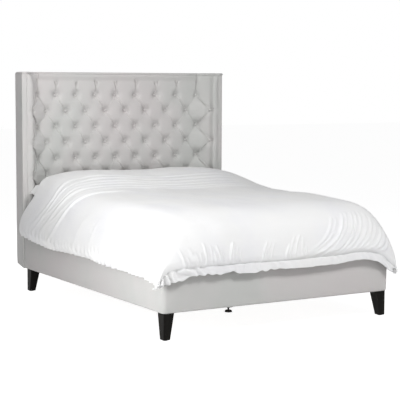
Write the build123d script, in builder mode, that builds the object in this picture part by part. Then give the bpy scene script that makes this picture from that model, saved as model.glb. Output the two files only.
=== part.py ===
from build123d import *
import os
from math import hypot

# Upholstered winged bed with a deep buttoned headboard, dressed with pillows and a duvet.
# Millimetres. +Z is up, +Y runs from the foot to the head, +X is the sleeper's left.
# The origin is on the floor, under the middle of the dressed bed.

# Mattress
mattress_width = 1500.0
mattress_length = 2000.0
mattress_height = 270.0
mattress_corner_radius = 110.0
mattress_edge_slope = 14.0
mattress_tape_height = 14.0
mattress_tape_thickness = 3.0
mattress_side_gap = 5.0
mattress_foot_gap = 10.0

# Fits
seat_gap = 0.3
bolt_gap = 0.3
thread_gap = 0.05
overrun = 5.0

# Rails round the base
rail_height = 260.0
rail_board_thickness = 45.0
rail_pad_thickness = 22.0
rail_lip_thickness = 3.0
rail_lip_drop = 36.0
rail_top_pad = 9.0
rail_base_cloth = 3.0
rail_corner_radius = 24.0
rail_edge_radius = 7.0
slat_top_below_rail = 40.0

# Legs
leg_height = 160.0
leg_top_width = 70.0
leg_foot_width = 43.0
leg_inset = 15.0
leg_chamfer = 3.0
head_leg_setback = 16.0
glide_radius = 15.0
glide_thickness = 3.0
glide_sides = 8
leg_bolt_radius = 5.0
leg_bolt_into_leg = 60.0
leg_bolt_into_rail = 55.0

# Slats, their holders and the beam that carries their inner ends
slat_count = 14
slat_width = 63.0
slat_thickness = 9.0
slat_bow = 11.0
slat_end_margin = 38.0
holder_length = 45.0
holder_wall = 4.0
holder_flange = 12.0
ledger_width = 30.0
ledger_height = 38.0
ledger_end_gap = 6.0
beam_width = 60.0
beam_height = 70.0
beam_wall = 3.0
hanger_plate = 4.0
hanger_margin = 14.0
hanger_lug_depth = 40.0

# Middle legs with screw feet
middle_leg_count = 3
middle_leg_width = 38.0
middle_leg_wall = 2.0
middle_leg_plate_width = 90.0
middle_leg_plate_thickness = 4.0
foot_pad_radius = 27.0
foot_pad_height = 13.0
foot_pad_sides = 6
foot_stem_radius = 6.0
foot_stem_length = 55.0
foot_screw_out = 18.0
foot_plug_length = 30.0

# Corner fittings
bracket_plate = 4.0
bracket_width = 55.0
bracket_height = 110.0
corner_bolt_radius = 4.0
corner_bolt_head_radius = 8.0
corner_bolt_head_height = 4.0
corner_bolt_grip = 27.0
bolt_shank_sides = 8

# Headboard
headboard_height = 1555.0
headboard_base_depth = 15.0
headboard_board_thickness = 18.0
headboard_frame_depth = 63.0
headboard_back_thickness = 15.0
headboard_top_pad = 15.0
headboard_back_radius = 30.0
headboard_rail_width = 70.0
headboard_post_width = 60.0
headboard_board_foot = 8.0

# Deep buttoned tufting
tuft_crease_inset = 116.0
tuft_row_spacing = 115.5
tuft_rows = 7
tuft_columns = 9
tuft_top_margin = 166.0
tuft_crown = 37.0
tuft_crest = 13.0
tuft_top_depth = 20.0
tuft_skirt_depth = 26.0
tuft_skirt_drop = 245.0
tuft_steps = 3
button_radius = 9.5
button_height = 4.0
button_tip_radius = 0.2
button_shank_depth = 12.0
crease_shank_depth = 29.0
button_cap_radius = 6.2
button_sides = 6

# Wings
wing_reach = 154.0
wing_lap = 49.0
wing_front_width = 57.0
wing_overhang = 10.0
wing_splay = 60.0
wing_board_thickness = 25.0
wing_pad_thickness = 15.0
wing_edge_radius = 9.0
piping_radius = 4.5

# Pillows, two on each side, laid one on the other
pillow_length = 740.0
pillow_width = 480.0
pillow_edge_rise = 42.0
pillow_crown = 84.0
pillow_second_crown = 76.0
pillow_edge_sag = 13.0
pillow_pull_in = 24.0
pillow_gap = 14.0
pillow_steps = 6
pillow_head_gap = 77.0

# Duvet
duvet_length = 2071.0
duvet_thickness = 34.0
duvet_foot_reach = 56.0
duvet_side_reach = 48.0
duvet_shoulder_width = 84.0
duvet_shoulder_height = 74.0
duvet_rim_cover = 24.0
duvet_crown_cover = 13.0
duvet_shoulder_steps = 3
duvet_top_steps = 12

# Duvet stations: share of its length, share of its reach past the left and the right rail,
# and shares of the rise of its shoulders, its crowns and its middle over the pillows
duvet_station_shares = (
    (0.0, -0.56, -0.56, -1.47, 0.08, 0.05),
    (0.009, 0.375, 0.29, -0.79, 0.16, 0.1),
    (0.03, 0.94, 0.83, -0.2, 0.26, 0.18),
    (0.07, 1.08, 1.04, 0.15, 0.29, 0.21),
    (0.14, 0.81, 1.1, 0.34, 0.29, 0.21),
    (0.215, 1.1, 0.83, 0.475, 0.29, 0.21),
    (0.3, 0.83, 1.08, 0.525, 0.29, 0.21),
    (0.395, 1.08, 0.85, 0.54, 0.29, 0.22),
    (0.5, 0.875, 1.1, 0.56, 0.3, 0.24),
    (0.605, 1.1, 0.875, 0.59, 0.37, 0.26),
    (0.7, 0.9, 1.08, 0.72, 0.58, 0.39),
    (0.78, 1.06, 0.92, 0.885, 0.82, 0.6),
    (0.85, 0.94, 1.06, 1.0, 0.97, 0.79),
    (0.925, 0.92, 0.96, 1.0, 1.0, 0.82),
    (1.0, 0.71, 0.75, 0.92, 0.84, 0.68),
)
# Hems: shares along the side or across the foot, and shares of the rail's height
side_hem_shares = (
    (0.0126, 0.54),
    (0.075, 0.66),
    (0.23, 0.746),
    (0.51, 0.815),
    (0.8, 0.79),
    (1.007, 0.93),
)
foot_hem_shares = (
    (-1.1, 0.43),
    (-1.0, 0.48),
    (-0.82, 0.715),
    (-0.4, 0.815),
    (0.0, 0.8),
    (0.45, 0.823),
    (0.8, 0.77),
    (0.93, 0.5),
    (1.1, 0.37),
)

# Places worked out from the sizes above
rail_thickness = rail_pad_thickness + rail_board_thickness + rail_lip_thickness
base_width = mattress_width + 2 * (mattress_side_gap + rail_thickness)
half_base = base_width / 2
rail_bottom = leg_height
rail_top = rail_bottom + rail_height
board_bottom = rail_bottom + rail_base_cloth
board_top = rail_top - rail_top_pad
slat_top = rail_top - slat_top_below_rail
mattress_bottom = slat_top
mattress_top = mattress_bottom + mattress_height

wing_half_front = half_base + wing_overhang
wing_inner_edge = wing_half_front - wing_front_width
crease = wing_inner_edge - tuft_crease_inset
tuft_pitch = 2 * crease / (tuft_columns - 1)

# Along the bed, measured from the foot rail's face, then moved to the origin's frame
mattress_foot_run = rail_thickness + mattress_foot_gap
wing_front_run = mattress_foot_run + mattress_length - wing_lap
button_run = wing_front_run + wing_reach
back_run = (
    button_run
    + headboard_base_depth
    + headboard_board_thickness
    + headboard_frame_depth
    + headboard_back_thickness
)
bed_length = back_run + duvet_foot_reach
foot_y = duvet_foot_reach - bed_length / 2
mattress_foot_y = foot_y + mattress_foot_run
mattress_head_y = mattress_foot_y + mattress_length
wing_front_y = foot_y + wing_front_run
button_y = foot_y + button_run
board_front_y = button_y + headboard_base_depth
board_back_y = board_front_y + headboard_board_thickness
frame_back_y = board_back_y + headboard_frame_depth
back_y = foot_y + back_run

pad_top = headboard_height - headboard_top_pad
first_row_z = headboard_height - tuft_top_margin
last_row_z = first_row_z - (tuft_rows - 1) * tuft_row_spacing
skirt_bottom = last_row_z - tuft_skirt_drop

sides = {"left": -1, "right": 1}

# Legs stand at the four corners of the base, each hung on one bolt
leg_outer_x = half_base - leg_inset
leg_axis_x = leg_outer_x - leg_foot_width / 2
leg_places = {
    "foot": (foot_y + leg_inset, 1),
    "head": (wing_front_y - head_leg_setback, -1),
}
leg_axes = [
    (sign * leg_axis_x, outer_y + inward * leg_foot_width / 2)
    for outer_y, inward in leg_places.values()
    for sign in sides.values()
]

os.makedirs("parts", exist_ok=True)


def save(name, built):
    """Labels a finished piece and writes it as one STEP file."""
    built.part.label = name
    export_step(built.part, f"parts/{name}.step")


def frustum(*rings):
    """Solid through polygons that lie one above the other, with as many corners each."""
    walls = [
        Face(Wire.make_polygon([lower[i - 1], lower[i], upper[i], upper[i - 1]]))
        for lower, upper in zip(rings, rings[1:])
        for i in range(len(lower))
    ]
    ends = [Face(Wire.make_polygon(ring)) for ring in (rings[0], rings[-1])]
    return Solid(Shell(walls + ends))


def row_z(row):
    """Height of a row of buttons, the first row being the highest."""
    return first_row_z - (row - 1) * tuft_row_spacing


def wing_line_x(y, inward):
    """Half width of the splayed wing at y, measured inward from its outer face."""
    slope = wing_splay / (back_y - wing_front_y)
    return wing_half_front - slope * (y - wing_front_y) - inward * hypot(1, slope)


# Base: boards of the side rails and the foot rail

bracket_bottom = board_bottom + (rail_height - rail_lip_drop - bracket_height) / 2
bolt_z = bracket_bottom + bracket_height / 2
bracket_bolt_inset = (bracket_width + bracket_plate) / 2
join_bolt_ys = (
    wing_front_y - bracket_bolt_inset,
    wing_front_y + wing_pad_thickness + bracket_bolt_inset,
)
board_outer_x = half_base - rail_pad_thickness
board_inner_x = board_outer_x - rail_board_thickness
foot_board_y = foot_y + rail_pad_thickness
foot_board_inner_y = foot_board_y + rail_board_thickness

with BuildPart() as foot_rail_board:
    with BuildSketch(Plane.XY.offset(board_bottom)):
        with Locations((0, (foot_board_y + foot_board_inner_y) / 2)):
            Rectangle(2 * board_outer_x, rail_board_thickness)
    extrude(amount=board_top - board_bottom)
    with BuildSketch(Plane.XY.offset(board_bottom)):
        with Locations(*leg_axes):
            Circle(leg_bolt_radius + bolt_gap)
    extrude(amount=leg_bolt_into_rail, mode=Mode.SUBTRACT)
    for side, sign in sides.items():
        with BuildSketch(Plane.XZ.offset(-foot_board_inner_y)):
            with Locations((sign * (board_inner_x - bracket_bolt_inset), bolt_z)):
                Circle(corner_bolt_radius + bolt_gap)
        extrude(amount=corner_bolt_grip, mode=Mode.SUBTRACT)

side_boards = {}
for side, sign in sides.items():
    with BuildPart() as side_board:
        with BuildSketch(Plane.XY.offset(board_bottom)):
            middle_y = (foot_board_inner_y + wing_front_y) / 2
            with Locations((sign * (board_outer_x + board_inner_x) / 2, middle_y)):
                Rectangle(rail_board_thickness, wing_front_y - foot_board_inner_y)
        extrude(amount=board_top - board_bottom)
        with BuildSketch(Plane.XY.offset(board_bottom)):
            with Locations(*leg_axes):
                Circle(leg_bolt_radius + bolt_gap)
        extrude(amount=leg_bolt_into_rail, mode=Mode.SUBTRACT)
        with BuildSketch(Plane.YZ.offset(sign * board_inner_x)):
            bolt_ys = (foot_board_inner_y + bracket_bolt_inset, wing_front_y - bracket_bolt_inset)
            with Locations(*[(y, bolt_z) for y in bolt_ys]):
                Circle(corner_bolt_radius + bolt_gap)
        extrude(amount=sign * corner_bolt_grip, mode=Mode.SUBTRACT)
    side_boards[side] = side_board

# Base: padded covers, which wrap over the boards and meet in mitres at the foot

with BuildPart() as base_envelope:
    with BuildSketch(Plane.XY.offset(rail_bottom)):
        with BuildLine():
            lip_x = half_base - rail_thickness
            lip_y = foot_y + rail_thickness
            Polyline(
                (-half_base, wing_front_y),
                (-half_base, foot_y),
                (half_base, foot_y),
                (half_base, wing_front_y),
                (lip_x, wing_front_y),
                (lip_x, lip_y),
                (-lip_x, lip_y),
                (-lip_x, wing_front_y),
                close=True,
            )
        make_face()
        foot_corners = vertices().group_by(Axis.Y)[0]
        fillet(foot_corners, radius=rail_corner_radius)
    extrude(amount=rail_height)
    outline_edges = faces().sort_by(Axis.Z)[-1].outer_wire().edges()
    head_edges = outline_edges.filter_by(Axis.X).group_by(Axis.Y)[-1]
    fillet(outline_edges - head_edges, radius=rail_edge_radius)
    with BuildSketch(Plane.XY.offset(rail_bottom - overrun)):
        with Locations((0, (lip_y + wing_front_y - rail_lip_thickness) / 2)):
            Rectangle(
                2 * (lip_x + rail_lip_thickness),
                wing_front_y - lip_y + rail_lip_thickness,
            )
    extrude(amount=rail_height - rail_lip_drop + overrun, mode=Mode.SUBTRACT)
    with BuildSketch(Plane.XY.offset(board_bottom)):
        with Locations((0, (foot_board_y + wing_front_y) / 2)):
            Rectangle(2 * board_outer_x, wing_front_y - foot_board_y)
        with Locations((0, (foot_board_inner_y + wing_front_y) / 2)):
            Rectangle(2 * board_inner_x, wing_front_y - foot_board_inner_y, mode=Mode.SUBTRACT)
    extrude(amount=board_top - board_bottom, mode=Mode.SUBTRACT)
    with BuildSketch(Plane.XY.offset(rail_bottom)):
        with Locations(*leg_axes):
            cloth_opening = 2 * (leg_bolt_radius + bolt_gap)
            Rectangle(cloth_opening, cloth_opening)
    extrude(amount=rail_base_cloth, mode=Mode.SUBTRACT)

mitre_planes = {
    side: Plane(
        origin=(sign * half_base, foot_y, 0),
        x_dir=(0, 0, 1),
        z_dir=(sign, 1, 0),
    )
    for side, sign in sides.items()
}

with BuildPart() as foot_rail_cover:
    add(base_envelope.part)
    for mitre_plane in mitre_planes.values():
        split(bisect_by=mitre_plane, keep=Keep.BOTTOM)

side_covers = {}
for side, sign in sides.items():
    with BuildPart() as side_cover:
        add(base_envelope.part)
        split(bisect_by=mitre_planes[side], keep=Keep.TOP)
        split(bisect_by=Plane.YZ, keep=Keep.TOP if sign > 0 else Keep.BOTTOM)
    side_covers[side] = side_cover

save("foot_rail_board", foot_rail_board)
save("foot_rail_cover", foot_rail_cover)
for side in sides:
    save(f"side_rail_{side}_board", side_boards[side])
    save(f"side_rail_{side}_cover", side_covers[side])

# Base: timber ledgers screwed inside the side rails

ledger_top = slat_top - slat_bow - slat_thickness - holder_wall
ledger_foot_y = foot_board_inner_y + bracket_width + ledger_end_gap
ledger_head_y = wing_front_y - bracket_width - ledger_end_gap
for side, sign in sides.items():
    with BuildPart() as ledger:
        with BuildSketch(Plane.XY.offset(ledger_top - ledger_height)):
            middle_x = board_inner_x - ledger_width / 2
            with Locations((sign * middle_x, (ledger_foot_y + ledger_head_y) / 2)):
                Rectangle(ledger_width, ledger_head_y - ledger_foot_y)
        extrude(amount=ledger_height)
        chamfer(edges().filter_by(Axis.Y).group_by(Axis.Z)[0], length=holder_wall)
    save(f"side_ledger_{side}", ledger)

# Base: hollow middle beam and the hangers that hold its two ends

beam_foot_y = foot_board_inner_y + hanger_plate
beam_head_y = board_front_y - hanger_plate
beam_bottom = ledger_top - beam_height

with BuildPart() as middle_beam:
    with BuildSketch(Plane.XZ.offset(-beam_foot_y)):
        with Locations((0, ledger_top - beam_height / 2)):
            Rectangle(beam_width, beam_height)
            Rectangle(
                beam_width - 2 * beam_wall,
                beam_height - 2 * beam_wall,
                mode=Mode.SUBTRACT,
            )
    extrude(amount=beam_foot_y - beam_head_y)
save("middle_beam", middle_beam)

with BuildPart() as beam_hangers:
    for plate_y, inward in ((foot_board_inner_y, 1), (board_front_y, -1)):
        with BuildSketch(Plane.XZ.offset(-plate_y)):
            with Locations((0, ledger_top - beam_height / 2)):
                Rectangle(beam_width + 2 * hanger_margin, beam_height)
        extrude(amount=-inward * hanger_plate)
        with BuildSketch(Plane.XZ.offset(-plate_y)):
            with Locations((0, beam_bottom - hanger_plate / 2)):
                Rectangle(beam_width + 2 * hanger_margin, hanger_plate)
        extrude(amount=-inward * hanger_lug_depth)
save("beam_hangers", beam_hangers)

# Base: sprung slats in two rows, bowed upward, with a moulded holder on each end

first_slat_y = ledger_foot_y + slat_end_margin
last_slat_y = ledger_head_y - slat_end_margin
slat_pitch = (last_slat_y - first_slat_y) / (slat_count - 1)
slat_ys = [first_slat_y + slat_pitch * index for index in range(slat_count)]
slat_outer_x = board_inner_x - holder_wall - seat_gap
slat_inner_x = holder_wall / 2 + seat_gap
slat_end_bottom = ledger_top + holder_wall
slat_base_top = slat_end_bottom + slat_thickness

for side, sign in sides.items():
    with BuildPart() as slats:
        for slat_y in slat_ys:
            with BuildSketch(Plane.XZ.offset(-(slat_y - slat_width / 2))):
                with BuildLine():
                    inner = Vector(sign * slat_inner_x, slat_end_bottom)
                    outer = Vector(sign * slat_outer_x, slat_end_bottom)
                    lift = Vector(0, slat_thickness)
                    bow = Vector(0, slat_bow - seat_gap)
                    middle = (inner + outer) / 2 + bow
                    ThreePointArc(inner, middle, outer)
                    Line(outer, outer + lift)
                    ThreePointArc(outer + lift, middle + lift, inner + lift)
                    Line(inner + lift, inner)
                make_face()
            extrude(amount=-slat_width)
    save(f"slats_{side}", slats)

holder_width = slat_width + 2 * (holder_wall + seat_gap)
slat_rise_share = 4 * holder_length / (slat_outer_x - slat_inner_x)
holder_mouth = slat_thickness + slat_rise_share * slat_bow + seat_gap
holder_height = holder_mouth + 2 * holder_wall


def slat_holders(name, wall_x, reach, slots):
    """Moulded caps with an open mouth for each slat end; reach is the cap's half length."""
    with BuildPart() as holders:
        for slat_y in slat_ys:
            with BuildSketch(Plane.XY.offset(ledger_top)):
                with Locations((wall_x, slat_y)):
                    Rectangle(2 * reach, holder_width)
            extrude(amount=holder_height)
            for slot_x in slots:
                with BuildSketch(Plane.XY.offset(slat_end_bottom)):
                    with Locations((slot_x, slat_y)):
                        Rectangle(holder_length, slat_width + 2 * seat_gap)
                extrude(amount=holder_mouth, mode=Mode.SUBTRACT)
    save(name, holders)


for side, sign in sides.items():
    cap_x = sign * (board_inner_x - holder_length / 2)
    slot_x = cap_x - sign * holder_wall
    slat_holders(f"slat_holders_{side}", cap_x, holder_length / 2, [slot_x])
middle_slots = [sign * (holder_wall + holder_length) / 2 for sign in sides.values()]
slat_holders("slat_holders_middle", 0, beam_width / 2, middle_slots)

# Base: steel corner brackets at the foot, joining plates at the head, and their bolts

for side, sign in sides.items():
    with BuildPart() as corner_bracket:
        with BuildSketch(Plane.XY.offset(bracket_bottom)):
            with BuildLine():
                corner_x = sign * board_inner_x
                plate_x = corner_x - sign * bracket_plate
                end_x = corner_x - sign * bracket_width
                plate_y = foot_board_inner_y + bracket_plate
                end_y = foot_board_inner_y + bracket_width
                Polyline(
                    (corner_x, foot_board_inner_y),
                    (corner_x, end_y),
                    (plate_x, end_y),
                    (plate_x, plate_y),
                    (end_x, plate_y),
                    (end_x, foot_board_inner_y),
                    close=True,
                )
            make_face()
        extrude(amount=bracket_height)
        with BuildSketch(Plane.XZ.offset(-foot_board_inner_y)):
            with Locations((sign * (board_inner_x - bracket_bolt_inset), bolt_z)):
                Circle(corner_bolt_radius + bolt_gap)
        extrude(amount=-bracket_plate, mode=Mode.SUBTRACT)
        with BuildSketch(Plane.YZ.offset(corner_x)):
            with Locations((foot_board_inner_y + bracket_bolt_inset, bolt_z)):
                Circle(corner_bolt_radius + bolt_gap)
        extrude(amount=-sign * bracket_plate, mode=Mode.SUBTRACT)
    save(f"corner_bracket_{side}", corner_bracket)

    with BuildPart() as join_plate:
        with BuildSketch(Plane.YZ.offset(corner_x)):
            joint_y = wing_front_y + wing_pad_thickness / 2
            with Locations((joint_y, bolt_z)):
                Rectangle(2 * bracket_width + wing_pad_thickness, bracket_height)
            with Locations(*[(y, bolt_z) for y in join_bolt_ys]):
                Circle(corner_bolt_radius + bolt_gap, mode=Mode.SUBTRACT)
        extrude(amount=-sign * bracket_plate)
    save(f"join_plate_{side}", join_plate)

with BuildPart() as frame_bolts:
    for side, sign in sides.items():
        seat_x = sign * (board_inner_x - bracket_plate)
        side_places = [(foot_board_inner_y + bracket_bolt_inset, bolt_z)]
        side_places += [(y, bolt_z) for y in join_bolt_ys]
        with BuildSketch(Plane.YZ.offset(seat_x)):
            with Locations(*side_places):
                RegularPolygon(corner_bolt_radius, bolt_shank_sides)
        extrude(amount=sign * corner_bolt_grip)
        with BuildSketch(Plane.YZ.offset(seat_x)):
            with Locations(*side_places):
                RegularPolygon(corner_bolt_head_radius, 6)
        extrude(amount=-sign * corner_bolt_head_height)
    foot_places = [
        (sign * (board_inner_x - bracket_bolt_inset), bolt_z) for sign in sides.values()
    ]
    foot_seat = Plane.XZ.offset(-(foot_board_inner_y + bracket_plate))
    with BuildSketch(foot_seat):
        with Locations(*foot_places):
            RegularPolygon(corner_bolt_radius, bolt_shank_sides)
    extrude(amount=corner_bolt_grip)
    with BuildSketch(foot_seat):
        with Locations(*foot_places):
            RegularPolygon(corner_bolt_head_radius, 6)
    extrude(amount=-corner_bolt_head_height)
save("frame_bolts", frame_bolts)

# Base: tapered legs, with a bolt into each and a glide under each

for end, (outer_y, inward) in leg_places.items():
    for side, sign in sides.items():
        with BuildPart() as leg:
            rings = []
            for width, height in ((leg_foot_width, glide_thickness), (leg_top_width, leg_height)):
                inner_x = leg_outer_x - width
                inner_y = outer_y + inward * width
                rings.append(
                    [
                        (sign * inner_x, outer_y, height),
                        (sign * leg_outer_x, outer_y, height),
                        (sign * leg_outer_x, inner_y, height),
                        (sign * inner_x, inner_y, height),
                    ]
                )
            add(frustum(*rings))
            chamfer(faces().sort_by(Axis.Z)[0].edges(), length=leg_chamfer)
            with BuildSketch(Plane.XY.offset(leg_height)):
                with Locations((sign * leg_axis_x, outer_y + inward * leg_foot_width / 2)):
                    Circle(leg_bolt_radius + bolt_gap)
            extrude(amount=-leg_bolt_into_leg, mode=Mode.SUBTRACT)
        save(f"leg_{end}_{side}", leg)

with BuildPart() as leg_bolts:
    with BuildSketch(Plane.XY.offset(leg_height - leg_bolt_into_leg)):
        with Locations(*leg_axes):
            RegularPolygon(leg_bolt_radius, bolt_shank_sides)
    extrude(amount=leg_bolt_into_leg + rail_base_cloth + leg_bolt_into_rail)
save("leg_bolts", leg_bolts)

with BuildPart() as leg_glides:
    with BuildSketch(Plane.XY):
        with Locations(*leg_axes):
            RegularPolygon(glide_radius, glide_sides)
    extrude(amount=glide_thickness)
save("leg_glides", leg_glides)

# Base: middle legs under the beam, each with a screw foot that levels it

middle_leg_span = last_slat_y - first_slat_y
middle_leg_ys = [
    first_slat_y + middle_leg_span * (index + 1) / (middle_leg_count + 1)
    for index in range(middle_leg_count)
]
tube_bottom = foot_pad_height + foot_screw_out
tube_top = beam_bottom - middle_leg_plate_thickness
stem_hole_radius = foot_stem_radius + thread_gap

for index, leg_y in enumerate(middle_leg_ys, start=1):
    with BuildPart() as middle_leg:
        with BuildSketch(Plane.XY.offset(tube_bottom)):
            with Locations((0, leg_y)):
                Rectangle(middle_leg_width, middle_leg_width)
        extrude(amount=tube_top - tube_bottom)
        with BuildSketch(Plane.XY.offset(tube_top)):
            with Locations((0, leg_y)):
                Rectangle(middle_leg_plate_width, beam_width)
        extrude(amount=middle_leg_plate_thickness)
        with BuildSketch(Plane.XY.offset(tube_bottom + foot_plug_length)):
            with Locations((0, leg_y)):
                tube_bore = middle_leg_width - 2 * middle_leg_wall
                Rectangle(tube_bore, tube_bore)
        extrude(amount=tube_top - tube_bottom - foot_plug_length, mode=Mode.SUBTRACT)
        with BuildSketch(Plane.XY.offset(tube_bottom)):
            with Locations((0, leg_y)):
                Circle(stem_hole_radius)
        extrude(amount=foot_plug_length, mode=Mode.SUBTRACT)
    save(f"middle_leg_{index}", middle_leg)

    with BuildPart() as screw_foot:
        with BuildSketch(Plane.XY):
            with Locations((0, leg_y)):
                RegularPolygon(foot_pad_radius, foot_pad_sides)
        extrude(amount=foot_pad_height)
        chamfer(faces().sort_by(Axis.Z)[-1].edges(), length=foot_pad_height / 2)
        with BuildSketch(Plane.XY.offset(foot_pad_height)):
            with Locations((0, leg_y)):
                Circle(foot_stem_radius)
        extrude(amount=foot_stem_length)
    save(f"screw_foot_{index}", screw_foot)

# Headboard: plywood board that the buttons are pulled against, and the timber frame behind it


def wing_board_x(y):
    """Half width of the wing board's inner face at y."""
    return wing_line_x(y, wing_pad_thickness + wing_board_thickness)


with BuildPart() as headboard_board:
    with BuildSketch(Plane.XY.offset(rail_bottom + headboard_board_foot)):
        with BuildLine():
            front_x = wing_board_x(board_front_y)
            rear_x = wing_board_x(board_back_y)
            Polyline(
                (-front_x, board_front_y),
                (front_x, board_front_y),
                (rear_x, board_back_y),
                (-rear_x, board_back_y),
                close=True,
            )
        make_face()
    extrude(amount=pad_top - rail_bottom - headboard_board_foot)
save("headboard_board", headboard_board)

frame_bottom = rail_bottom + headboard_board_foot
post_outer_x = wing_board_x(frame_back_y) - seat_gap
frame_middle_y = (board_back_y + frame_back_y) / 2
for side, sign in sides.items():
    with BuildPart() as headboard_post:
        with BuildSketch(Plane.XY.offset(frame_bottom)):
            with Locations((sign * (post_outer_x - headboard_post_width / 2), frame_middle_y)):
                Rectangle(headboard_post_width, headboard_frame_depth)
        extrude(amount=pad_top - frame_bottom)
    save(f"headboard_post_{side}", headboard_post)

inner_width = 2 * (post_outer_x - headboard_post_width)
frame_rails = {
    "bottom": frame_bottom,
    "middle": (frame_bottom + pad_top - headboard_rail_width) / 2,
    "top": pad_top - headboard_rail_width,
}
for level, height in frame_rails.items():
    with BuildPart() as headboard_rail:
        with BuildSketch(Plane.XY.offset(height)):
            with Locations((0, frame_middle_y)):
                Rectangle(inner_width, headboard_frame_depth)
        extrude(amount=headboard_rail_width)
    save(f"headboard_rail_{level}", headboard_rail)

# Headboard: deep buttoned cushions, made of curved cells that are drawn down to the buttons.
# A cell is written in its cushion's own plane: along, up, and out from the button level.


def control(start, end, middle):
    """Control point that makes a curved edge pass at the given height half way along."""
    along, up, out = ((a + b) / 2 for a, b in zip(start, end))
    return (along, up, 2 * middle - out)


def facets(net, steps):
    """Triangles over a surface with three by three control points, with the given steps a side."""
    shares = [index / steps for index in range(steps + 1)]
    weights = [((1 - t) ** 2, 2 * t * (1 - t), t**2) for t in shares]
    points = [
        [
            sum((net[i][j] * u[i] * v[j] for i in range(3) for j in range(3)), Vector(0, 0, 0))
            for v in weights
        ]
        for u in weights
    ]
    triangles = []
    for i in range(steps):
        for j in range(steps):
            near, far = points[i], points[i + 1]
            if (i < steps / 2) == (j < steps / 2):
                halves = ((near[j], far[j], far[j + 1]), (near[j], far[j + 1], near[j + 1]))
            else:
                halves = ((near[j], far[j], near[j + 1]), (far[j], far[j + 1], near[j + 1]))
            triangles += [Face(Wire.make_polygon(half)) for half in halves]
    sides = (points[0], [row[-1] for row in points], points[-1], [row[0] for row in points])
    return triangles, sides


def cell(plane, corners, edge_heights, heart_control):
    """Domed facets between four corners, with given heights at the middle of its edges."""
    a, b, c, d = corners
    ab, bc, cd, da = (
        control(start, end, height)
        for start, end, height in zip(corners, (b, c, d, a), edge_heights)
    )
    heart = tuple(sum(values) / 4 for values in zip(ab, bc, cd, da))[:2] + (heart_control,)
    grid = [[a, ab, b], [da, heart, bc], [d, cd, c]]
    net = [[plane.from_local_coords(Vector(*point)) for point in row] for row in grid]
    return facets(net, tuft_steps)


def diamond(plane, along, row):
    """A full diamond between four buttons, centred on a row."""
    half = tuft_pitch / 2
    up = row_z(row)
    corners = (
        (along, up + tuft_row_spacing, 0),
        (along + half, up, 0),
        (along, up - tuft_row_spacing, 0),
        (along - half, up, 0),
    )
    return cell(plane, corners, [tuft_crest] * 4, 4 * (tuft_crown - tuft_crest))


def flute(plane, tip, button, pleat_end, open_end):
    """Half of a flute that opens from a button at its tip, past the next button, to an edge."""
    corners = (tip, button, pleat_end, open_end)
    rim = (pleat_end[2] + open_end[2]) / 2
    heart_control = control(open_end, tip, tuft_crown)[2]
    return cell(plane, corners, (tuft_crest, tuft_crest, rim, tuft_crown), heart_control)


def cushion(plane, cells, base_depth):
    """Closes a sheet of cells with side walls and a flat back."""
    cell_sides = [side for _, sides in cells for side in sides]
    middles = [side[0] + side[-1] for side in cell_sides]
    walls = []
    back_edges = []
    for side, middle in zip(cell_sides, middles):
        if sum((middle - other).length < seat_gap for other in middles) == 1:
            ends = []
            for point in (side[-1], side[0]):
                local = plane.to_local_coords(point)
                ends.append(plane.from_local_coords(Vector(local.X, local.Y, -base_depth)))
            back_edges.append(Edge.make_line(*ends))
            walls.append(Face(Wire.make_polygon([*side, *ends])))
    sheet = [face for triangles, _ in cells for face in triangles]
    return Solid(Shell(sheet + walls + [Face(Wire(back_edges))]))


# Headboard: the planes of the panel, of a wing's inner face and of the mitre between them

half_pitch = tuft_pitch / 2
middle_column = (tuft_columns - 1) // 2
panel_plane = Plane(origin=(0, button_y, 0), x_dir=(1, 0, 0), z_dir=(0, -1, 0))
crease_point = Vector(crease, button_y)
wing_edge_point = Vector(wing_inner_edge, wing_front_y)
wing_along = (wing_edge_point - crease_point).normalized()
wing_face_width = (wing_edge_point - crease_point).length
wing_out = Vector(wing_along.Y, -wing_along.X)
wing_plane = Plane(origin=crease_point, x_dir=wing_along, z_dir=wing_out)
mitre_out = (wing_out + panel_plane.z_dir).normalized()
mitre_side = Vector(-mitre_out.Y, mitre_out.X)
crease_plane = Plane(origin=crease_point, x_dir=mitre_side, z_dir=mitre_out)
crease_cut = Plane(origin=crease_point, x_dir=mitre_out, z_dir=mitre_side)

odd_rows = range(1, tuft_rows + 1, 2)
even_rows = range(2, tuft_rows, 2)
full_columns = [tuft_pitch * index for index in range(-middle_column, middle_column + 1)]
between_columns = [column + half_pitch for column in full_columns[:-1]]

panel_cells = []
for row in even_rows:
    panel_cells += [diamond(panel_plane, column, row) for column in full_columns]
for row in odd_rows[1:-1]:
    panel_cells += [diamond(panel_plane, column, row) for column in between_columns]
for column in between_columns:
    for edge_column in (column - half_pitch, column + half_pitch):
        panel_cells.append(
            flute(
                panel_plane,
                (column, row_z(2), 0),
                (edge_column, row_z(1), 0),
                (edge_column, pad_top, tuft_top_depth),
                (column, pad_top, tuft_top_depth),
            )
        )
        panel_cells.append(
            flute(
                panel_plane,
                (column, row_z(tuft_rows - 1), 0),
                (edge_column, row_z(tuft_rows), 0),
                (edge_column, skirt_bottom, tuft_skirt_depth),
                (column, skirt_bottom, tuft_skirt_depth),
            )
        )

wing_cells = [diamond(wing_plane, 0, row) for row in even_rows]
for row in odd_rows:
    tip = (0, row_z(row), 0)
    open_end = (wing_face_width, row_z(row), 0)
    above = (half_pitch, row_z(row - 1), 0)
    above_end = (wing_face_width, row_z(row - 1), 0)
    below = (half_pitch, row_z(row + 1), 0)
    below_end = (wing_face_width, row_z(row + 1), 0)
    if row == 1:
        above = (0, pad_top, tuft_top_depth)
        above_end = (wing_face_width, pad_top, 0)
    if row == tuft_rows:
        below = (0, skirt_bottom, tuft_skirt_depth)
        below_end = (wing_face_width, skirt_bottom, 0)
    wing_cells.append(flute(wing_plane, tip, above, above_end, open_end))
    wing_cells.append(flute(wing_plane, tip, below, below_end, open_end))

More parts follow.
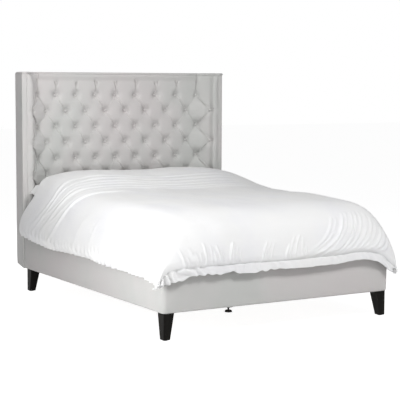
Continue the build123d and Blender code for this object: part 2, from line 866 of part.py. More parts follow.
# Headboard: covered buttons on tapered shanks, which are drawn down into the tufts

panel_buttons = [(column, row_z(row)) for row in odd_rows for column in full_columns[1:-1]]
panel_buttons += [(column, row_z(row)) for row in even_rows for column in between_columns]
crease_buttons = [(0, row_z(row)) for row in odd_rows]
wing_button_places = [(half_pitch, row_z(row)) for row in even_rows]


def button_set(plane, places, shank_depth):
    """Covered buttons in a plane, each with a shank that narrows to a tip on the cloth."""
    levels = (
        (button_tip_radius, 0),
        (button_radius, shank_depth),
        (button_cap_radius, shank_depth + button_height),
    )
    buttons = []
    for along, up in places:
        rings = []
        for radius, level in levels:
            ring_plane = plane.offset(level + 2 * seat_gap)
            corners = [
                Vector(along, up) + Vector(radius, 0).rotate(Axis.Z, 360 * index / button_sides)
                for index in range(button_sides)
            ]
            rings.append([ring_plane.from_local_coords(corner) for corner in corners])
        buttons.append(frustum(*rings))
    return buttons


with BuildPart() as headboard_buttons:
    crease_set = button_set(crease_plane, crease_buttons, crease_shank_depth)
    add(button_set(panel_plane, panel_buttons, button_shank_depth))
    add(crease_set + [button.mirror(Plane.YZ) for button in crease_set])
save("headboard_buttons", headboard_buttons)

with BuildPart() as wing_buttons:
    wing_set = button_set(wing_plane, wing_button_places, button_shank_depth)
    add(wing_set + [button.mirror(Plane.YZ) for button in wing_set])
save("wing_buttons", wing_buttons)

with BuildPart() as headboard_cushion:
    add(cushion(panel_plane, panel_cells, headboard_base_depth))
    split(bisect_by=crease_cut, keep=Keep.BOTTOM)
    split(bisect_by=Plane.YZ, keep=Keep.TOP)
    mirror(about=Plane.YZ)
save("headboard_cushion", headboard_cushion)

# Wings: board, tufted inner pad, outer cover with its front strip, and the piping between them

strip_back_y = wing_front_y + wing_pad_thickness
mitre_slope = mitre_out.X / mitre_out.Y


def mitre_x(y):
    """Half width of the mitre between panel and wing at y."""
    return crease + mitre_slope * (y - button_y)


with BuildPart() as wing_board:
    with BuildSketch(Plane.XY.offset(frame_bottom)):
        with BuildLine():
            Polyline(
                (wing_line_x(strip_back_y, wing_pad_thickness), strip_back_y),
                (wing_line_x(frame_back_y, wing_pad_thickness), frame_back_y),
                (wing_board_x(frame_back_y), frame_back_y),
                (wing_board_x(strip_back_y), strip_back_y),
                close=True,
            )
        make_face()
    extrude(amount=pad_top - frame_bottom)

with BuildPart() as wing_piping:
    with BuildSketch(Plane.XY.offset(rail_top)):
        with Locations((wing_inner_edge, wing_front_y + piping_radius / 2)):
            Circle(piping_radius)
    extrude(amount=pad_top - rail_top)

with BuildPart() as wing_pad:
    add(cushion(wing_plane, wing_cells, button_height))
    with BuildSketch(Plane.XY.offset(skirt_bottom)):
        with BuildLine():
            Polyline(
                (wing_inner_edge, wing_front_y),
                (wing_inner_edge, strip_back_y),
                (wing_board_x(strip_back_y), strip_back_y),
                (wing_board_x(board_front_y), board_front_y),
                (mitre_x(board_front_y), board_front_y),
                (crease, button_y),
                close=True,
            )
        make_face()
    extrude(amount=pad_top - skirt_bottom)
    split(bisect_by=crease_cut, keep=Keep.TOP)
    add(wing_piping.part, mode=Mode.SUBTRACT)

with BuildPart() as side_outline:
    with BuildSketch(Plane.YZ):
        with BuildLine():
            Polyline(
                (foot_y, rail_bottom),
                (back_y, rail_bottom),
                (back_y, headboard_height),
                (foot_y, headboard_height),
                close=True,
            )
        make_face()
        fillet(vertices().group_by(Axis.X)[-1], radius=headboard_back_radius)
    extrude(amount=wing_half_front + overrun, both=True)

with BuildPart() as wing_cover:
    with BuildSketch(Plane.XY.offset(rail_bottom)):
        with BuildLine():
            Polyline(
                (wing_inner_edge, wing_front_y),
                (wing_half_front, wing_front_y),
                (wing_line_x(back_y, 0), back_y),
                (wing_line_x(back_y, wing_pad_thickness), back_y),
                (wing_line_x(strip_back_y, wing_pad_thickness), strip_back_y),
                (wing_inner_edge, strip_back_y),
                close=True,
            )
        make_face()
        outer_corners = vertices().sort_by(Axis.X)[-1]
        fillet(outer_corners, radius=wing_edge_radius)
    extrude(amount=pad_top - rail_bottom)
    with BuildSketch(Plane.XY.offset(pad_top)):
        with BuildLine():
            rolled_y = button_y - tuft_top_depth
            Polyline(
                (wing_inner_edge, wing_front_y),
                (wing_half_front, wing_front_y),
                (wing_line_x(back_y, 0), back_y),
                (mitre_x(back_y), back_y),
                (mitre_x(rolled_y), rolled_y),
                close=True,
            )
        make_face()
        fillet(vertices().sort_by(Axis.X)[-1], radius=wing_edge_radius)
    extrude(amount=headboard_top_pad)
    add(side_outline.part, mode=Mode.INTERSECT)
    add(wing_piping.part, mode=Mode.SUBTRACT)

with BuildPart() as wing_post:
    with BuildSketch(Plane.XY.offset(frame_bottom)):
        with BuildLine():
            post_back_y = strip_back_y + bracket_width + ledger_end_gap
            Polyline(
                (board_inner_x, strip_back_y),
                (wing_board_x(strip_back_y), strip_back_y),
                (wing_board_x(post_back_y), post_back_y),
                (board_inner_x, post_back_y),
                close=True,
            )
        make_face()
    extrude(amount=skirt_bottom - frame_bottom)
    with BuildSketch(Plane.YZ.offset(board_inner_x)):
        with Locations((join_bolt_ys[1], bolt_z)):
            Circle(corner_bolt_radius + bolt_gap)
    extrude(amount=corner_bolt_grip - bracket_plate, mode=Mode.SUBTRACT)

wing_pieces = {
    "board": wing_board,
    "pad": wing_pad,
    "cover": wing_cover,
    "post": wing_post,
    "piping": wing_piping,
}
for name, piece in wing_pieces.items():
    save(f"wing_right_{name}", piece)
    with BuildPart() as left_piece:
        add(piece.part.mirror(Plane.YZ))
    save(f"wing_left_{name}", left_piece)

# Headboard: cloth over its top edge and its back

with BuildPart() as headboard_top:
    with BuildSketch(Plane.XY.offset(pad_top)):
        with BuildLine():
            Polyline(
                (-mitre_x(rolled_y), rolled_y),
                (mitre_x(rolled_y), rolled_y),
                (mitre_x(back_y), back_y),
                (-mitre_x(back_y), back_y),
                close=True,
            )
        make_face()
    extrude(amount=headboard_top_pad)
    add(side_outline.part, mode=Mode.INTERSECT)
save("headboard_top_cover", headboard_top)

with BuildPart() as headboard_back:
    with BuildSketch(Plane.XY.offset(rail_bottom)):
        with BuildLine():
            Polyline(
                (-wing_line_x(frame_back_y, wing_pad_thickness), frame_back_y),
                (wing_line_x(frame_back_y, wing_pad_thickness), frame_back_y),
                (wing_line_x(back_y, wing_pad_thickness), back_y),
                (-wing_line_x(back_y, wing_pad_thickness), back_y),
                close=True,
            )
        make_face()
    extrude(amount=pad_top - rail_bottom)
    add(side_outline.part, mode=Mode.INTERSECT)
save("headboard_back_cover", headboard_back)

# Mattress with its tape edges

with BuildPart() as mattress:
    with BuildSketch(Plane.XY.offset(mattress_bottom)):
        with Locations((0, (mattress_foot_y + mattress_head_y) / 2)):
            RectangleRounded(mattress_width, mattress_length, mattress_corner_radius)
    extrude(amount=mattress_height)
    rims = edges().group_by(Axis.Z)[0] + edges().group_by(Axis.Z)[-1]
    chamfer(rims, length=mattress_edge_slope)
save("mattress", mattress)

with BuildPart() as mattress_tapes:
    tape_inset = mattress_edge_slope + mattress_tape_height
    for tape_z in (mattress_bottom + mattress_edge_slope, mattress_top - tape_inset):
        with BuildSketch(Plane.XY.offset(tape_z)):
            with Locations((0, (mattress_foot_y + mattress_head_y) / 2)):
                RectangleRounded(
                    mattress_width + 2 * mattress_tape_thickness,
                    mattress_length + 2 * mattress_tape_thickness,
                    mattress_corner_radius + mattress_tape_thickness,
                )
                RectangleRounded(
                    mattress_width,
                    mattress_length,
                    mattress_corner_radius,
                    mode=Mode.SUBTRACT,
                )
        extrude(amount=mattress_tape_height)
save("mattress_tapes", mattress_tapes)

# Pillows: two stacks, each pillow crowned and drawn in between its corners

pillow_centre_y = mattress_head_y - pillow_head_gap - pillow_width / 2
pillow_half_length = pillow_length / 2
pillow_half_width = pillow_width / 2


def pillow_face(centre_x, rim, heart):
    """One side of a pillow, from its rim up or down to the height of its heart."""
    drawn_length = pillow_half_length - 2 * pillow_pull_in
    drawn_width = pillow_half_width - 2 * pillow_pull_in
    grid = (
        (
            (-pillow_half_length, -pillow_half_width),
            (0, -drawn_width),
            (pillow_half_length, -pillow_half_width),
        ),
        ((-drawn_length, 0), (0, 0), (drawn_length, 0)),
        (
            (-pillow_half_length, pillow_half_width),
            (0, drawn_width),
            (pillow_half_length, pillow_half_width),
        ),
    )
    heart_control = 4 * heart - 3 * rim
    net = [
        [
            Vector(
                centre_x + along,
                pillow_centre_y + across,
                heart_control if (along, across) == (0, 0) else rim,
            )
            for along, across in row
        ]
        for row in grid
    ]
    return facets(net, pillow_steps)[0]


lower_crown_z = mattress_top + seat_gap + pillow_crown
upper_bottom_z = lower_crown_z + seat_gap
upper_crown_z = upper_bottom_z + pillow_second_crown
pillow_levels = {
    "lower": (mattress_top + pillow_edge_rise, mattress_top + seat_gap, lower_crown_z),
    "upper": (upper_bottom_z + pillow_edge_sag, upper_bottom_z, upper_crown_z),
}
for side, sign in sides.items():
    for level, (rim, bottom, top) in pillow_levels.items():
        centre_x = sign * (pillow_gap + pillow_length) / 2
        with BuildPart() as pillow:
            add(Solid(Shell(pillow_face(centre_x, rim, bottom) + pillow_face(centre_x, rim, top))))
        save(f"pillow_{side}_{level}", pillow)

# Duvet: outer form through the stations, hollowed over the mattress and the pillows

pillow_top_z = upper_crown_z + seat_gap
pillow_rim_z = upper_bottom_z + pillow_edge_sag + seat_gap
shoulder_rise = pillow_rim_z - mattress_top + duvet_rim_cover
crown_rise = pillow_top_z - pillow_rim_z + duvet_crown_cover
duvet_foot_y = foot_y - duvet_foot_reach
duvet_low_z = rail_bottom + min(share for _, share in foot_hem_shares) * rail_height


def duvet_section(station):
    """Outline of the duvet at one station, as a ring of corners."""
    run, left, right, shoulder, crown, middle = station
    plane = Plane.XZ.offset(-(duvet_foot_y + run * duvet_length))
    left_x = -(half_base + left * duvet_side_reach)
    right_x = half_base + right * duvet_side_reach
    top_z = mattress_top + shoulder * shoulder_rise
    side_z = top_z - duvet_shoulder_height
    left_top_x = left_x + duvet_shoulder_width
    right_top_x = right_x - duvet_shoulder_width
    crown_z = top_z + crown * crown_rise
    middle_z = top_z + middle * crown_rise
    left_shoulder = Bezier((left_x, side_z), (left_x, top_z), (left_top_x, top_z))
    top = Bezier(
        (left_top_x, top_z),
        (2 * left_top_x / 3, crown_z),
        (left_top_x / 3, crown_z),
        (0, middle_z),
        (right_top_x / 3, crown_z),
        (2 * right_top_x / 3, crown_z),
        (right_top_x, top_z),
    )
    right_shoulder = Bezier((right_top_x, top_z), (right_x, top_z), (right_x, side_z))
    outline = [(left_x, duvet_low_z)]
    outline += [left_shoulder @ (k / duvet_shoulder_steps) for k in range(duvet_shoulder_steps)]
    outline += [top @ (k / duvet_top_steps) for k in range(duvet_top_steps)]
    outline += [right_shoulder @ (k / duvet_shoulder_steps) for k in range(duvet_shoulder_steps)]
    outline += [(right_x, side_z), (right_x, duvet_low_z)]
    return [plane.from_local_coords(Vector(*point)) for point in outline]


def skin(rings):
    """Solid of flat triangles through rings that lie one behind the other."""
    walls = []
    for near, far in zip(rings, rings[1:]):
        for i in range(len(near)):
            walls.append(Face(Wire.make_polygon([near[i - 1], near[i], far[i]])))
            walls.append(Face(Wire.make_polygon([near[i - 1], far[i], far[i - 1]])))
    ends = [Face(Wire.make_polygon(ring)) for ring in (rings[0], rings[-1])]
    return Solid(Shell(walls + ends))


inner_x = half_base + duvet_side_reach - duvet_thickness
inner_y = duvet_foot_y + duvet_thickness
mattress_half = mattress_width / 2
head_clear_y = duvet_foot_y + duvet_length
pillow_foot_y = pillow_centre_y - pillow_half_width
pillow_head_y = pillow_centre_y + pillow_half_width
bed_top_z = mattress_top + seat_gap
fold_z = mattress_top - duvet_shoulder_height + duvet_thickness / 2

foot_top_z = mattress_top + duvet_station_shares[0][3] * shoulder_rise
foot_bend_z = mattress_top + duvet_station_shares[1][3] * shoulder_rise

with BuildPart() as bed_hollow:
    with BuildSketch(Plane.XZ.offset(-inner_y)):
        with BuildLine():
            Polyline(
                (-inner_x, duvet_low_z),
                (-inner_x, fold_z),
                (-mattress_half, bed_top_z),
                (mattress_half, bed_top_z),
                (inner_x, fold_z),
                (inner_x, duvet_low_z),
                close=True,
            )
        make_face()
    extrude(amount=inner_y - head_clear_y)
    with BuildSketch(Plane.YZ):
        with BuildLine():
            Polyline(
                (inner_y, duvet_low_z),
                (inner_y, foot_top_z - duvet_thickness),
                (foot_y, foot_bend_z - duvet_thickness / 2),
                (mattress_foot_y, bed_top_z),
                (head_clear_y, bed_top_z),
                (head_clear_y, duvet_low_z),
                close=True,
            )
        make_face()
    extrude(amount=inner_x, both=True, mode=Mode.INTERSECT)

with BuildPart() as pillow_hollow:
    with BuildSketch(Plane.XZ.offset(-(pillow_foot_y - seat_gap))):
        with BuildLine():
            pillow_outer_x = pillow_gap / 2 + pillow_length + seat_gap
            pillow_middle_x = pillow_gap / 2 + pillow_half_length
            slope_x = (pillow_outer_x + pillow_middle_x) / 2
            Polyline(
                (pillow_outer_x, pillow_rim_z),
                (pillow_outer_x, mattress_top),
                (-pillow_outer_x, mattress_top),
                (-pillow_outer_x, pillow_rim_z),
            )
            Bezier(
                (-pillow_outer_x, pillow_rim_z),
                (-slope_x, pillow_top_z),
                (-pillow_middle_x, pillow_top_z),
            )
            Line((-pillow_middle_x, pillow_top_z), (pillow_middle_x, pillow_top_z))
            Bezier(
                (pillow_middle_x, pillow_top_z),
                (slope_x, pillow_top_z),
                (pillow_outer_x, pillow_rim_z),
            )
        make_face()
    extrude(amount=pillow_foot_y - pillow_head_y - 2 * seat_gap)
    with BuildSketch(Plane.YZ):
        with BuildLine():
            Polyline(
                (pillow_foot_y - seat_gap, pillow_rim_z),
                (pillow_foot_y - seat_gap, mattress_top),
                (pillow_head_y + seat_gap, mattress_top),
                (pillow_head_y + seat_gap, pillow_rim_z),
            )
            Bezier(
                (pillow_head_y + seat_gap, pillow_rim_z),
                (pillow_centre_y, 2 * pillow_top_z - pillow_rim_z),
                (pillow_foot_y - seat_gap, pillow_rim_z),
            )
        make_face()
    extrude(amount=pillow_outer_x, both=True, mode=Mode.INTERSECT)

with BuildPart() as duvet:
    add(skin([duvet_section(station) for station in duvet_station_shares]))
    add(bed_hollow.part, mode=Mode.SUBTRACT)
    add(pillow_hollow.part, mode=Mode.SUBTRACT)
    with BuildSketch(Plane.YZ):
        with BuildLine():
            side_points = [
                (duvet_foot_y + run * duvet_length, rail_bottom + height * rail_height)
                for run, height in side_hem_shares
            ]
            side_points[0] = (inner_y, side_points[0][1])
            Spline(*side_points)
            Polyline(
                side_points[-1],
                (side_points[-1][0], duvet_low_z - overrun),
                (inner_y, duvet_low_z - overrun),
                side_points[0],
            )
        make_face()
    extrude(amount=base_width, both=True, mode=Mode.SUBTRACT)
    with BuildSketch(Plane.XZ.offset(-inner_y)):
        with BuildLine():
            foot_points = [
                (across * half_base, rail_bottom + height * rail_height)
                for across, height in foot_hem_shares
            ]
            Spline(*foot_points)
            Polyline(
                foot_points[-1],
                (foot_points[-1][0], duvet_low_z - overrun),
                (foot_points[0][0], duvet_low_z - overrun),
                foot_points[0],
            )
        make_face()
    extrude(amount=duvet_thickness + overrun, mode=Mode.SUBTRACT)
save("duvet", duvet)
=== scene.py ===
import math

import bmesh
import bpy
import numpy as np
from mathutils import Matrix, Vector, noise


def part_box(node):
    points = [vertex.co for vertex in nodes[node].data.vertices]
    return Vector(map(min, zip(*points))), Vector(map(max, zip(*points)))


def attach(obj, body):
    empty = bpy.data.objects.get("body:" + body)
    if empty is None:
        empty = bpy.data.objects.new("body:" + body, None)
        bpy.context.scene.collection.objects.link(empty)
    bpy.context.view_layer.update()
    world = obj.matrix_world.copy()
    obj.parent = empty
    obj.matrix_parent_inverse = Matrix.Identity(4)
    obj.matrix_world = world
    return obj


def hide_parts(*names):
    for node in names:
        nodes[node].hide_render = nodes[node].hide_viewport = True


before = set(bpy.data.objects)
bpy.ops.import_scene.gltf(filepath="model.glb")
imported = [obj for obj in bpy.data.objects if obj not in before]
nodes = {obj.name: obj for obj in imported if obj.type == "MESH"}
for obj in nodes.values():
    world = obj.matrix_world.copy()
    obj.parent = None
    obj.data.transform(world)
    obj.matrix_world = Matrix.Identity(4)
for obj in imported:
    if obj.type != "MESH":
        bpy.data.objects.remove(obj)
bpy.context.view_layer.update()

# Metres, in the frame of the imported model: +Z up, +Y from the foot to the head.

body = "bed"

# Places read from the frame
side_board_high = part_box("side_rail_right_board")[1]
rail_low, rail_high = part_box("side_rail_right_cover")
panel_low, panel_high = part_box("headboard_cushion")
wing_low, wing_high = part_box("wing_right_cover")
piping_low, piping_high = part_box("wing_right_piping")
mattress_low, mattress_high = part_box("mattress")
tape_low, tape_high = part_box("mattress_tapes")
duvet_low, duvet_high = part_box("duvet")

half_base = rail_high.x
rail_bottom = rail_low.z
rail_top = rail_high.z
foot_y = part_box("foot_rail_cover")[0].y
wing_front_y = wing_low.y
back_y = wing_high.y
back_cloth_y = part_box("headboard_back_cover")[0].y
wing_outer_front = wing_high.x
headboard_top = wing_high.z
pad_top = panel_high.z
skirt_bottom = panel_low.z
wing_inner_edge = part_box("wing_right_pad")[1].x

# Tufting and wings, as built
crease_inset = 0.116
button_depth = 0.154
button_plane_y = wing_front_y + button_depth
crease = wing_inner_edge - crease_inset
tuft_columns = 9
half_pitch = crease / (tuft_columns - 1)
row_spacing = 0.1155
top_margin = 0.166
first_row_z = headboard_top - top_margin
rows = 7
crown = 0.037
wing_splay = 0.060

rng = np.random.default_rng(7)


# Mesh helpers


def mesh_object(name, points, faces, smooth=True):
    """A mesh object of the scene from plain lists."""
    mesh = bpy.data.meshes.new(name)
    vertices = [tuple(map(float, point)) for point in points]
    mesh.from_pydata(vertices, [], [tuple(map(int, face)) for face in faces])
    mesh.validate()
    mesh.update()
    if smooth:
        mesh.polygons.foreach_set("use_smooth", [True] * len(mesh.polygons))
    piece = bpy.data.objects.new(name, mesh)
    bpy.context.scene.collection.objects.link(piece)
    return piece


def outward(piece):
    """Turns the faces of a closed mesh outward."""
    built = bmesh.new()
    built.from_mesh(piece.data)
    bmesh.ops.recalc_face_normals(built, faces=built.faces)
    built.to_mesh(piece.data)
    built.free()
    return piece


def ring_faces(count, rings, start=0, closed=False):
    """Quads between rings of as many points each, the last joined to the first if closed."""
    faces = []
    for ring in range(rings if closed else rings - 1):
        here, ahead = start + ring * count, start + (ring + 1) % rings * count
        for k in range(count):
            m = (k + 1) % count
            faces.append((here + k, here + m, ahead + m, ahead + k))
    return faces


def sweep(name, sections):
    """A closed tube through rings of as many points each, with capped ends."""
    count = len(sections[0])
    last = (len(sections) - 1) * count
    faces = ring_faces(count, len(sections))
    faces.append(tuple(range(count)))
    faces.append(tuple(last + j for j in reversed(range(count))))
    return outward(mesh_object(name, [point for ring in sections for point in ring], faces))


def closed_sheet(name, outer, inner):
    """A closed mesh between two grids of points, joined round their rim."""
    nu, nv = outer.shape[:2]
    count = nu * nv
    i, j = np.meshgrid(np.arange(nu - 1), np.arange(nv - 1), indexing="ij")
    low = (i * nv + j).ravel()
    quads = np.stack([low, low + nv, low + nv + 1, low + 1], -1)
    faces = [tuple(quad) for quad in quads] + [tuple(quad[::-1] + count) for quad in quads]
    rim = [k * nv for k in range(nu)] + [(nu - 1) * nv + k for k in range(1, nv)]
    rim += [k * nv + nv - 1 for k in reversed(range(nu - 1))] + list(reversed(range(1, nv - 1)))
    for here, ahead in zip(rim, rim[1:] + rim[:1]):
        faces.append((ahead, here, here + count, ahead + count))
    return mesh_object(name, np.concatenate([outer.reshape(-1, 3), inner.reshape(-1, 3)]), faces)


def smooth_step(t):
    """Eased step from 0 to 1."""
    t = np.clip(t, 0, 1)
    return t * t * (3 - 2 * t)


def ripple(points, scale, seed):
    """Smooth noise at each point, about -1 to 1."""
    shift = Vector((seed * 3.1, seed * 1.7, seed * 2.3))
    flat = np.asarray(points, float).reshape(-1, 3)
    values = [noise.noise(Vector(p) * scale + shift) for p in flat]
    return np.array(values).reshape(np.asarray(points).shape[:-1])


def put_on(piece, material, replaced):
    """Gives a piece its material and body, and hides the imported nodes that it replaces."""
    piece.data.materials.append(material)
    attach(piece, body)
    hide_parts(*replaced)


# Materials


def new_material(name, color, roughness, **sockets):
    """A principled material, with plain values set on its own sockets."""
    material = bpy.data.materials.new(name)
    material.use_nodes = True
    shader = material.node_tree.nodes["Principled BSDF"]
    shader.inputs["Base Color"].default_value = (*color, 1)
    shader.inputs["Roughness"].default_value = roughness
    for socket, value in sockets.items():
        shader.inputs[socket.replace("_", " ")].default_value = value
    return material, shader


def add_node(material, kind, **values):
    """A shader node with its input values and settings."""
    made = material.node_tree.nodes.new(kind)
    for key, value in values.items():
        if key in made.inputs:
            made.inputs[key].default_value = value
        else:
            setattr(made, key, value)
    return made


def link(material, source, target):
    """Joins two sockets of a material."""
    material.node_tree.links.new(source, target)


def object_coordinates(material, scale):
    """Coordinates of the piece itself, stretched."""
    place = add_node(material, "ShaderNodeTexCoord")
    mapping = add_node(material, "ShaderNodeMapping")
    mapping.inputs["Scale"].default_value = scale
    link(material, place.outputs["Object"], mapping.inputs["Vector"])
    return mapping.outputs["Vector"]


def mixed_color(material, shader, colors, scale, stretch, contrast):
    """Base colour that drifts between colours over noise of the given scale."""
    spread = add_node(material, "ShaderNodeTexNoise", Scale=scale, Detail=3.0)
    link(material, object_coordinates(material, stretch), spread.inputs["Vector"])
    ramp = add_node(material, "ShaderNodeValToRGB")
    low, high = contrast
    steps = len(colors) - 1
    ramp.color_ramp.elements[0].position = low
    ramp.color_ramp.elements[1].position = high
    for index in range(1, steps):
        ramp.color_ramp.elements.new(low + (high - low) * index / steps)
    for element, color in zip(ramp.color_ramp.elements, colors):
        element.color = (*color, 1)
    link(material, spread.outputs["Fac"], ramp.inputs["Fac"])
    link(material, ramp.outputs["Color"], shader.inputs["Base Color"])


def bumped(material, shader, layers):
    """Chains bump layers: each is an output, a strength and a distance in metres."""
    last = None
    for output, strength, distance in layers:
        bump = add_node(material, "ShaderNodeBump", Strength=strength, Distance=distance)
        link(material, output, bump.inputs["Height"])
        if last:
            link(material, last.outputs["Normal"], bump.inputs["Normal"])
        last = bump
    link(material, last.outputs["Normal"], shader.inputs["Normal"])


def weave(material, threads_per_metre):
    """Height of a fine plain weave, from crossed waves in all three directions."""
    where = object_coordinates(material, (1, 1, 1))
    heights = []
    for axis in ("X", "Y", "Z"):
        wave = add_node(material, "ShaderNodeTexWave", Scale=threads_per_metre, Distortion=0.6)
        wave.bands_direction = axis
        link(material, where, wave.inputs["Vector"])
        heights.append(wave.outputs["Fac"])
    first = add_node(material, "ShaderNodeMath", operation="MULTIPLY")
    link(material, heights[0], first.inputs[0])
    link(material, heights[1], first.inputs[1])
    second = add_node(material, "ShaderNodeMath", operation="ADD")
    link(material, first.outputs[0], second.inputs[0])
    link(material, heights[2], second.inputs[1])
    return second.outputs[0]


def noise_height(material, scale, detail=4.0, stretch=(1, 1, 1)):
    """Height of plain noise."""
    texture = add_node(material, "ShaderNodeTexNoise", Scale=scale, Detail=detail)
    link(material, object_coordinates(material, stretch), texture.inputs["Vector"])
    return texture.outputs["Fac"]


def surface(
    name, colors, scale, roughness, layers, stretch=(1, 1, 1), contrast=(0.35, 0.65), **sockets
):
    """A material in drifting tones under bump layers: height, its values, strength, distance."""
    material, shader = new_material(name, colors[0], roughness, **sockets)
    mixed_color(material, shader, colors, scale, stretch, contrast)
    bumped(
        material,
        shader,
        [(height(material, *values), *strength) for height, values, *strength in layers],
    )
    return material


# Short-pile velvet: a soft sheen, a brushed nap and a fine ground weave
cream = surface(
    "cream_velvet",
    [(0.555, 0.560, 0.545), (0.590, 0.580, 0.570), (0.600, 0.575, 0.570)],
    2.2,
    0.82,
    [
        (weave, (260,), 0.25, 0.0006),
        (noise_height, (420, 2.0), 0.35, 0.0008),
        (noise_height, (14, 3.0), 0.20, 0.006),
    ],
    stretch=(1, 1, 0.6),
    contrast=(0.38, 0.62),
    Sheen_Weight=0.35,
    Sheen_Roughness=0.45,
    Sheen_Tint=(0.96, 0.94, 0.95, 1),
    Specular_IOR_Level=0.25,
)
cotton = surface(
    "white_cotton",
    [(0.85, 0.85, 0.865), (0.87, 0.87, 0.872), (0.875, 0.872, 0.868)],
    3.0,
    0.9,
    [
        (weave, (420,), 0.15, 0.0004),
        (noise_height, (60, 4.0, (1, 1, 0.5)), 0.18, 0.003),
        (noise_height, (9, 5.0), 0.30, 0.012),
    ],
    Sheen_Weight=0.12,
    Sheen_Roughness=0.5,
    Specular_IOR_Level=0.2,
)
knit = surface(
    "mattress_knit",
    [(0.77, 0.76, 0.73), (0.82, 0.81, 0.78)],
    5.0,
    0.9,
    [(weave, (120,), 0.4, 0.001), (noise_height, (25,), 0.3, 0.006)],
    Sheen_Weight=0.1,
)
tape = surface(
    "mattress_tape",
    [(0.32, 0.32, 0.33), (0.40, 0.40, 0.41)],
    30.0,
    0.85,
    [(weave, (300,), 0.5, 0.0008)],
)
lacquer = surface(
    "black_lacquer",
    [(0.006, 0.0055, 0.005), (0.011, 0.010, 0.009)],
    18.0,
    0.42,
    [(noise_height, (90, 5.0, (1, 1, 0.08)), 0.25, 0.0008)],
    stretch=(1, 1, 0.15),
    Specular_IOR_Level=0.055,
)
steel = surface(
    "black_steel",
    [(0.026, 0.026, 0.028), (0.042, 0.042, 0.044)],
    40.0,
    0.5,
    [(noise_height, (700, 3.0), 0.3, 0.0003)],
    Metallic=0.2,
)
zinc = surface(
    "zinc_steel",
    [(0.48, 0.50, 0.52), (0.62, 0.63, 0.64)],
    120.0,
    0.32,
    [(noise_height, (500, 3.0), 0.15, 0.0002)],
    Metallic=1.0,
)
plastic = surface(
    "black_plastic",
    [(0.022, 0.022, 0.023), (0.032, 0.032, 0.033)],
    60.0,
    0.55,
    [(noise_height, (900, 2.0), 0.3, 0.0002)],
)


wood_roughness = 0.6
wood_scale = (1.2, 1.2, 1.2)


def timber(name, light, dark, rings):
    """Planed wood: long grain in two tones, with pores."""
    material, shader = new_material(name, light, wood_roughness)
    grain = add_node(material, "ShaderNodeTexWave", Scale=rings, Distortion=9.0, Detail=3.0)
    grain.inputs["Detail Scale"].default_value = 1.6
    grain.wave_type = "BANDS"
    grain.bands_direction = "DIAGONAL"
    link(material, object_coordinates(material, wood_scale), grain.inputs["Vector"])
    ramp = add_node(material, "ShaderNodeValToRGB")
    ramp.color_ramp.elements[0].color = (*dark, 1)
    ramp.color_ramp.elements[1].color = (*light, 1)
    link(material, grain.outputs["Fac"], ramp.inputs["Fac"])
    link(material, ramp.outputs["Color"], shader.inputs["Base Color"])
    bumped(material, shader, [(noise_height(material, 260, 4.0, (0.2, 1, 1)), 0.25, 0.0006)])
    return material


pine = timber("pine_timber", (0.62, 0.44, 0.25), (0.50, 0.32, 0.16), 6.0)
birch = timber("birch_slat", (0.66, 0.50, 0.31), (0.58, 0.42, 0.25), 9.0)
plywood = timber("plywood", (0.60, 0.44, 0.27), (0.50, 0.35, 0.20), 12.0)


# Headboard: one quilted sheet over the panel and both wings

row_two_z = first_row_z - row_spacing
wing_along = Vector((wing_inner_edge - crease, wing_front_y - button_plane_y, 0))
wing_face_width = wing_along.length
wing_along.normalize()
sheet_half = crease + wing_face_width

# The quilting is a lattice: columns count half pitches along the run, rows rise from row two
lattice_top = (pad_top - row_two_z) / row_spacing
lattice_low = (skirt_bottom - row_two_z) / row_spacing
last_row = 2 - rows
edge_column = tuft_columns - 1
tip_reach = 0.125
lattice_edge = edge_column + wing_face_width / tip_reach
# The columns sit a little to the left of even spacing, most in the middle
column_drift = 0.030


def run_at(column):
    """Run along the sheet of a lattice column."""
    column = np.asarray(column, float)
    inside = np.clip(column, -edge_column, edge_column)
    drift = column_drift * np.cos(np.pi * inside / (2 * edge_column)) * (1 + 0.06 * inside)
    return inside * half_pitch - drift + (column - inside) * tip_reach


def height_at(row):
    """Height above the floor of a lattice row."""
    return row_two_z + row * row_spacing


def button_lattice():
    """Lattice places of all the buttons."""
    places = []
    for row in range(last_row, 2):
        reach = edge_column if row % 2 else edge_column + 1
        places += [(column, row) for column in range(-reach, reach + 1) if (column + row) % 2]
    return places


buttons_at = button_lattice()

# Pleats, as shares of the crown: valley depth, its width in metres, and groove depth
falling_pleat = (0.09, 0.013, 0.19)
rising_pleat = (0.05, 0.013, 0.10)
tip_pleat = (0.30, 0.013, 0.30)
top_pleat = (0.18, 0.009, 0.40)
skirt_pleat = (0.20, 0.020, 0.08)
wing_pleat = (0.42, 0.034, 0.06)
fan_valley, fan_width = 0.22, 0.0045
fan_turns = (0.95, 0.55, 0.12, -0.30, -0.75, 2.3, 3.6)
pleat_bow = 0.03
groove_width = 0.0026
lip_offset, lip_width, lip_height = 0.0065, 0.0035, 0.011


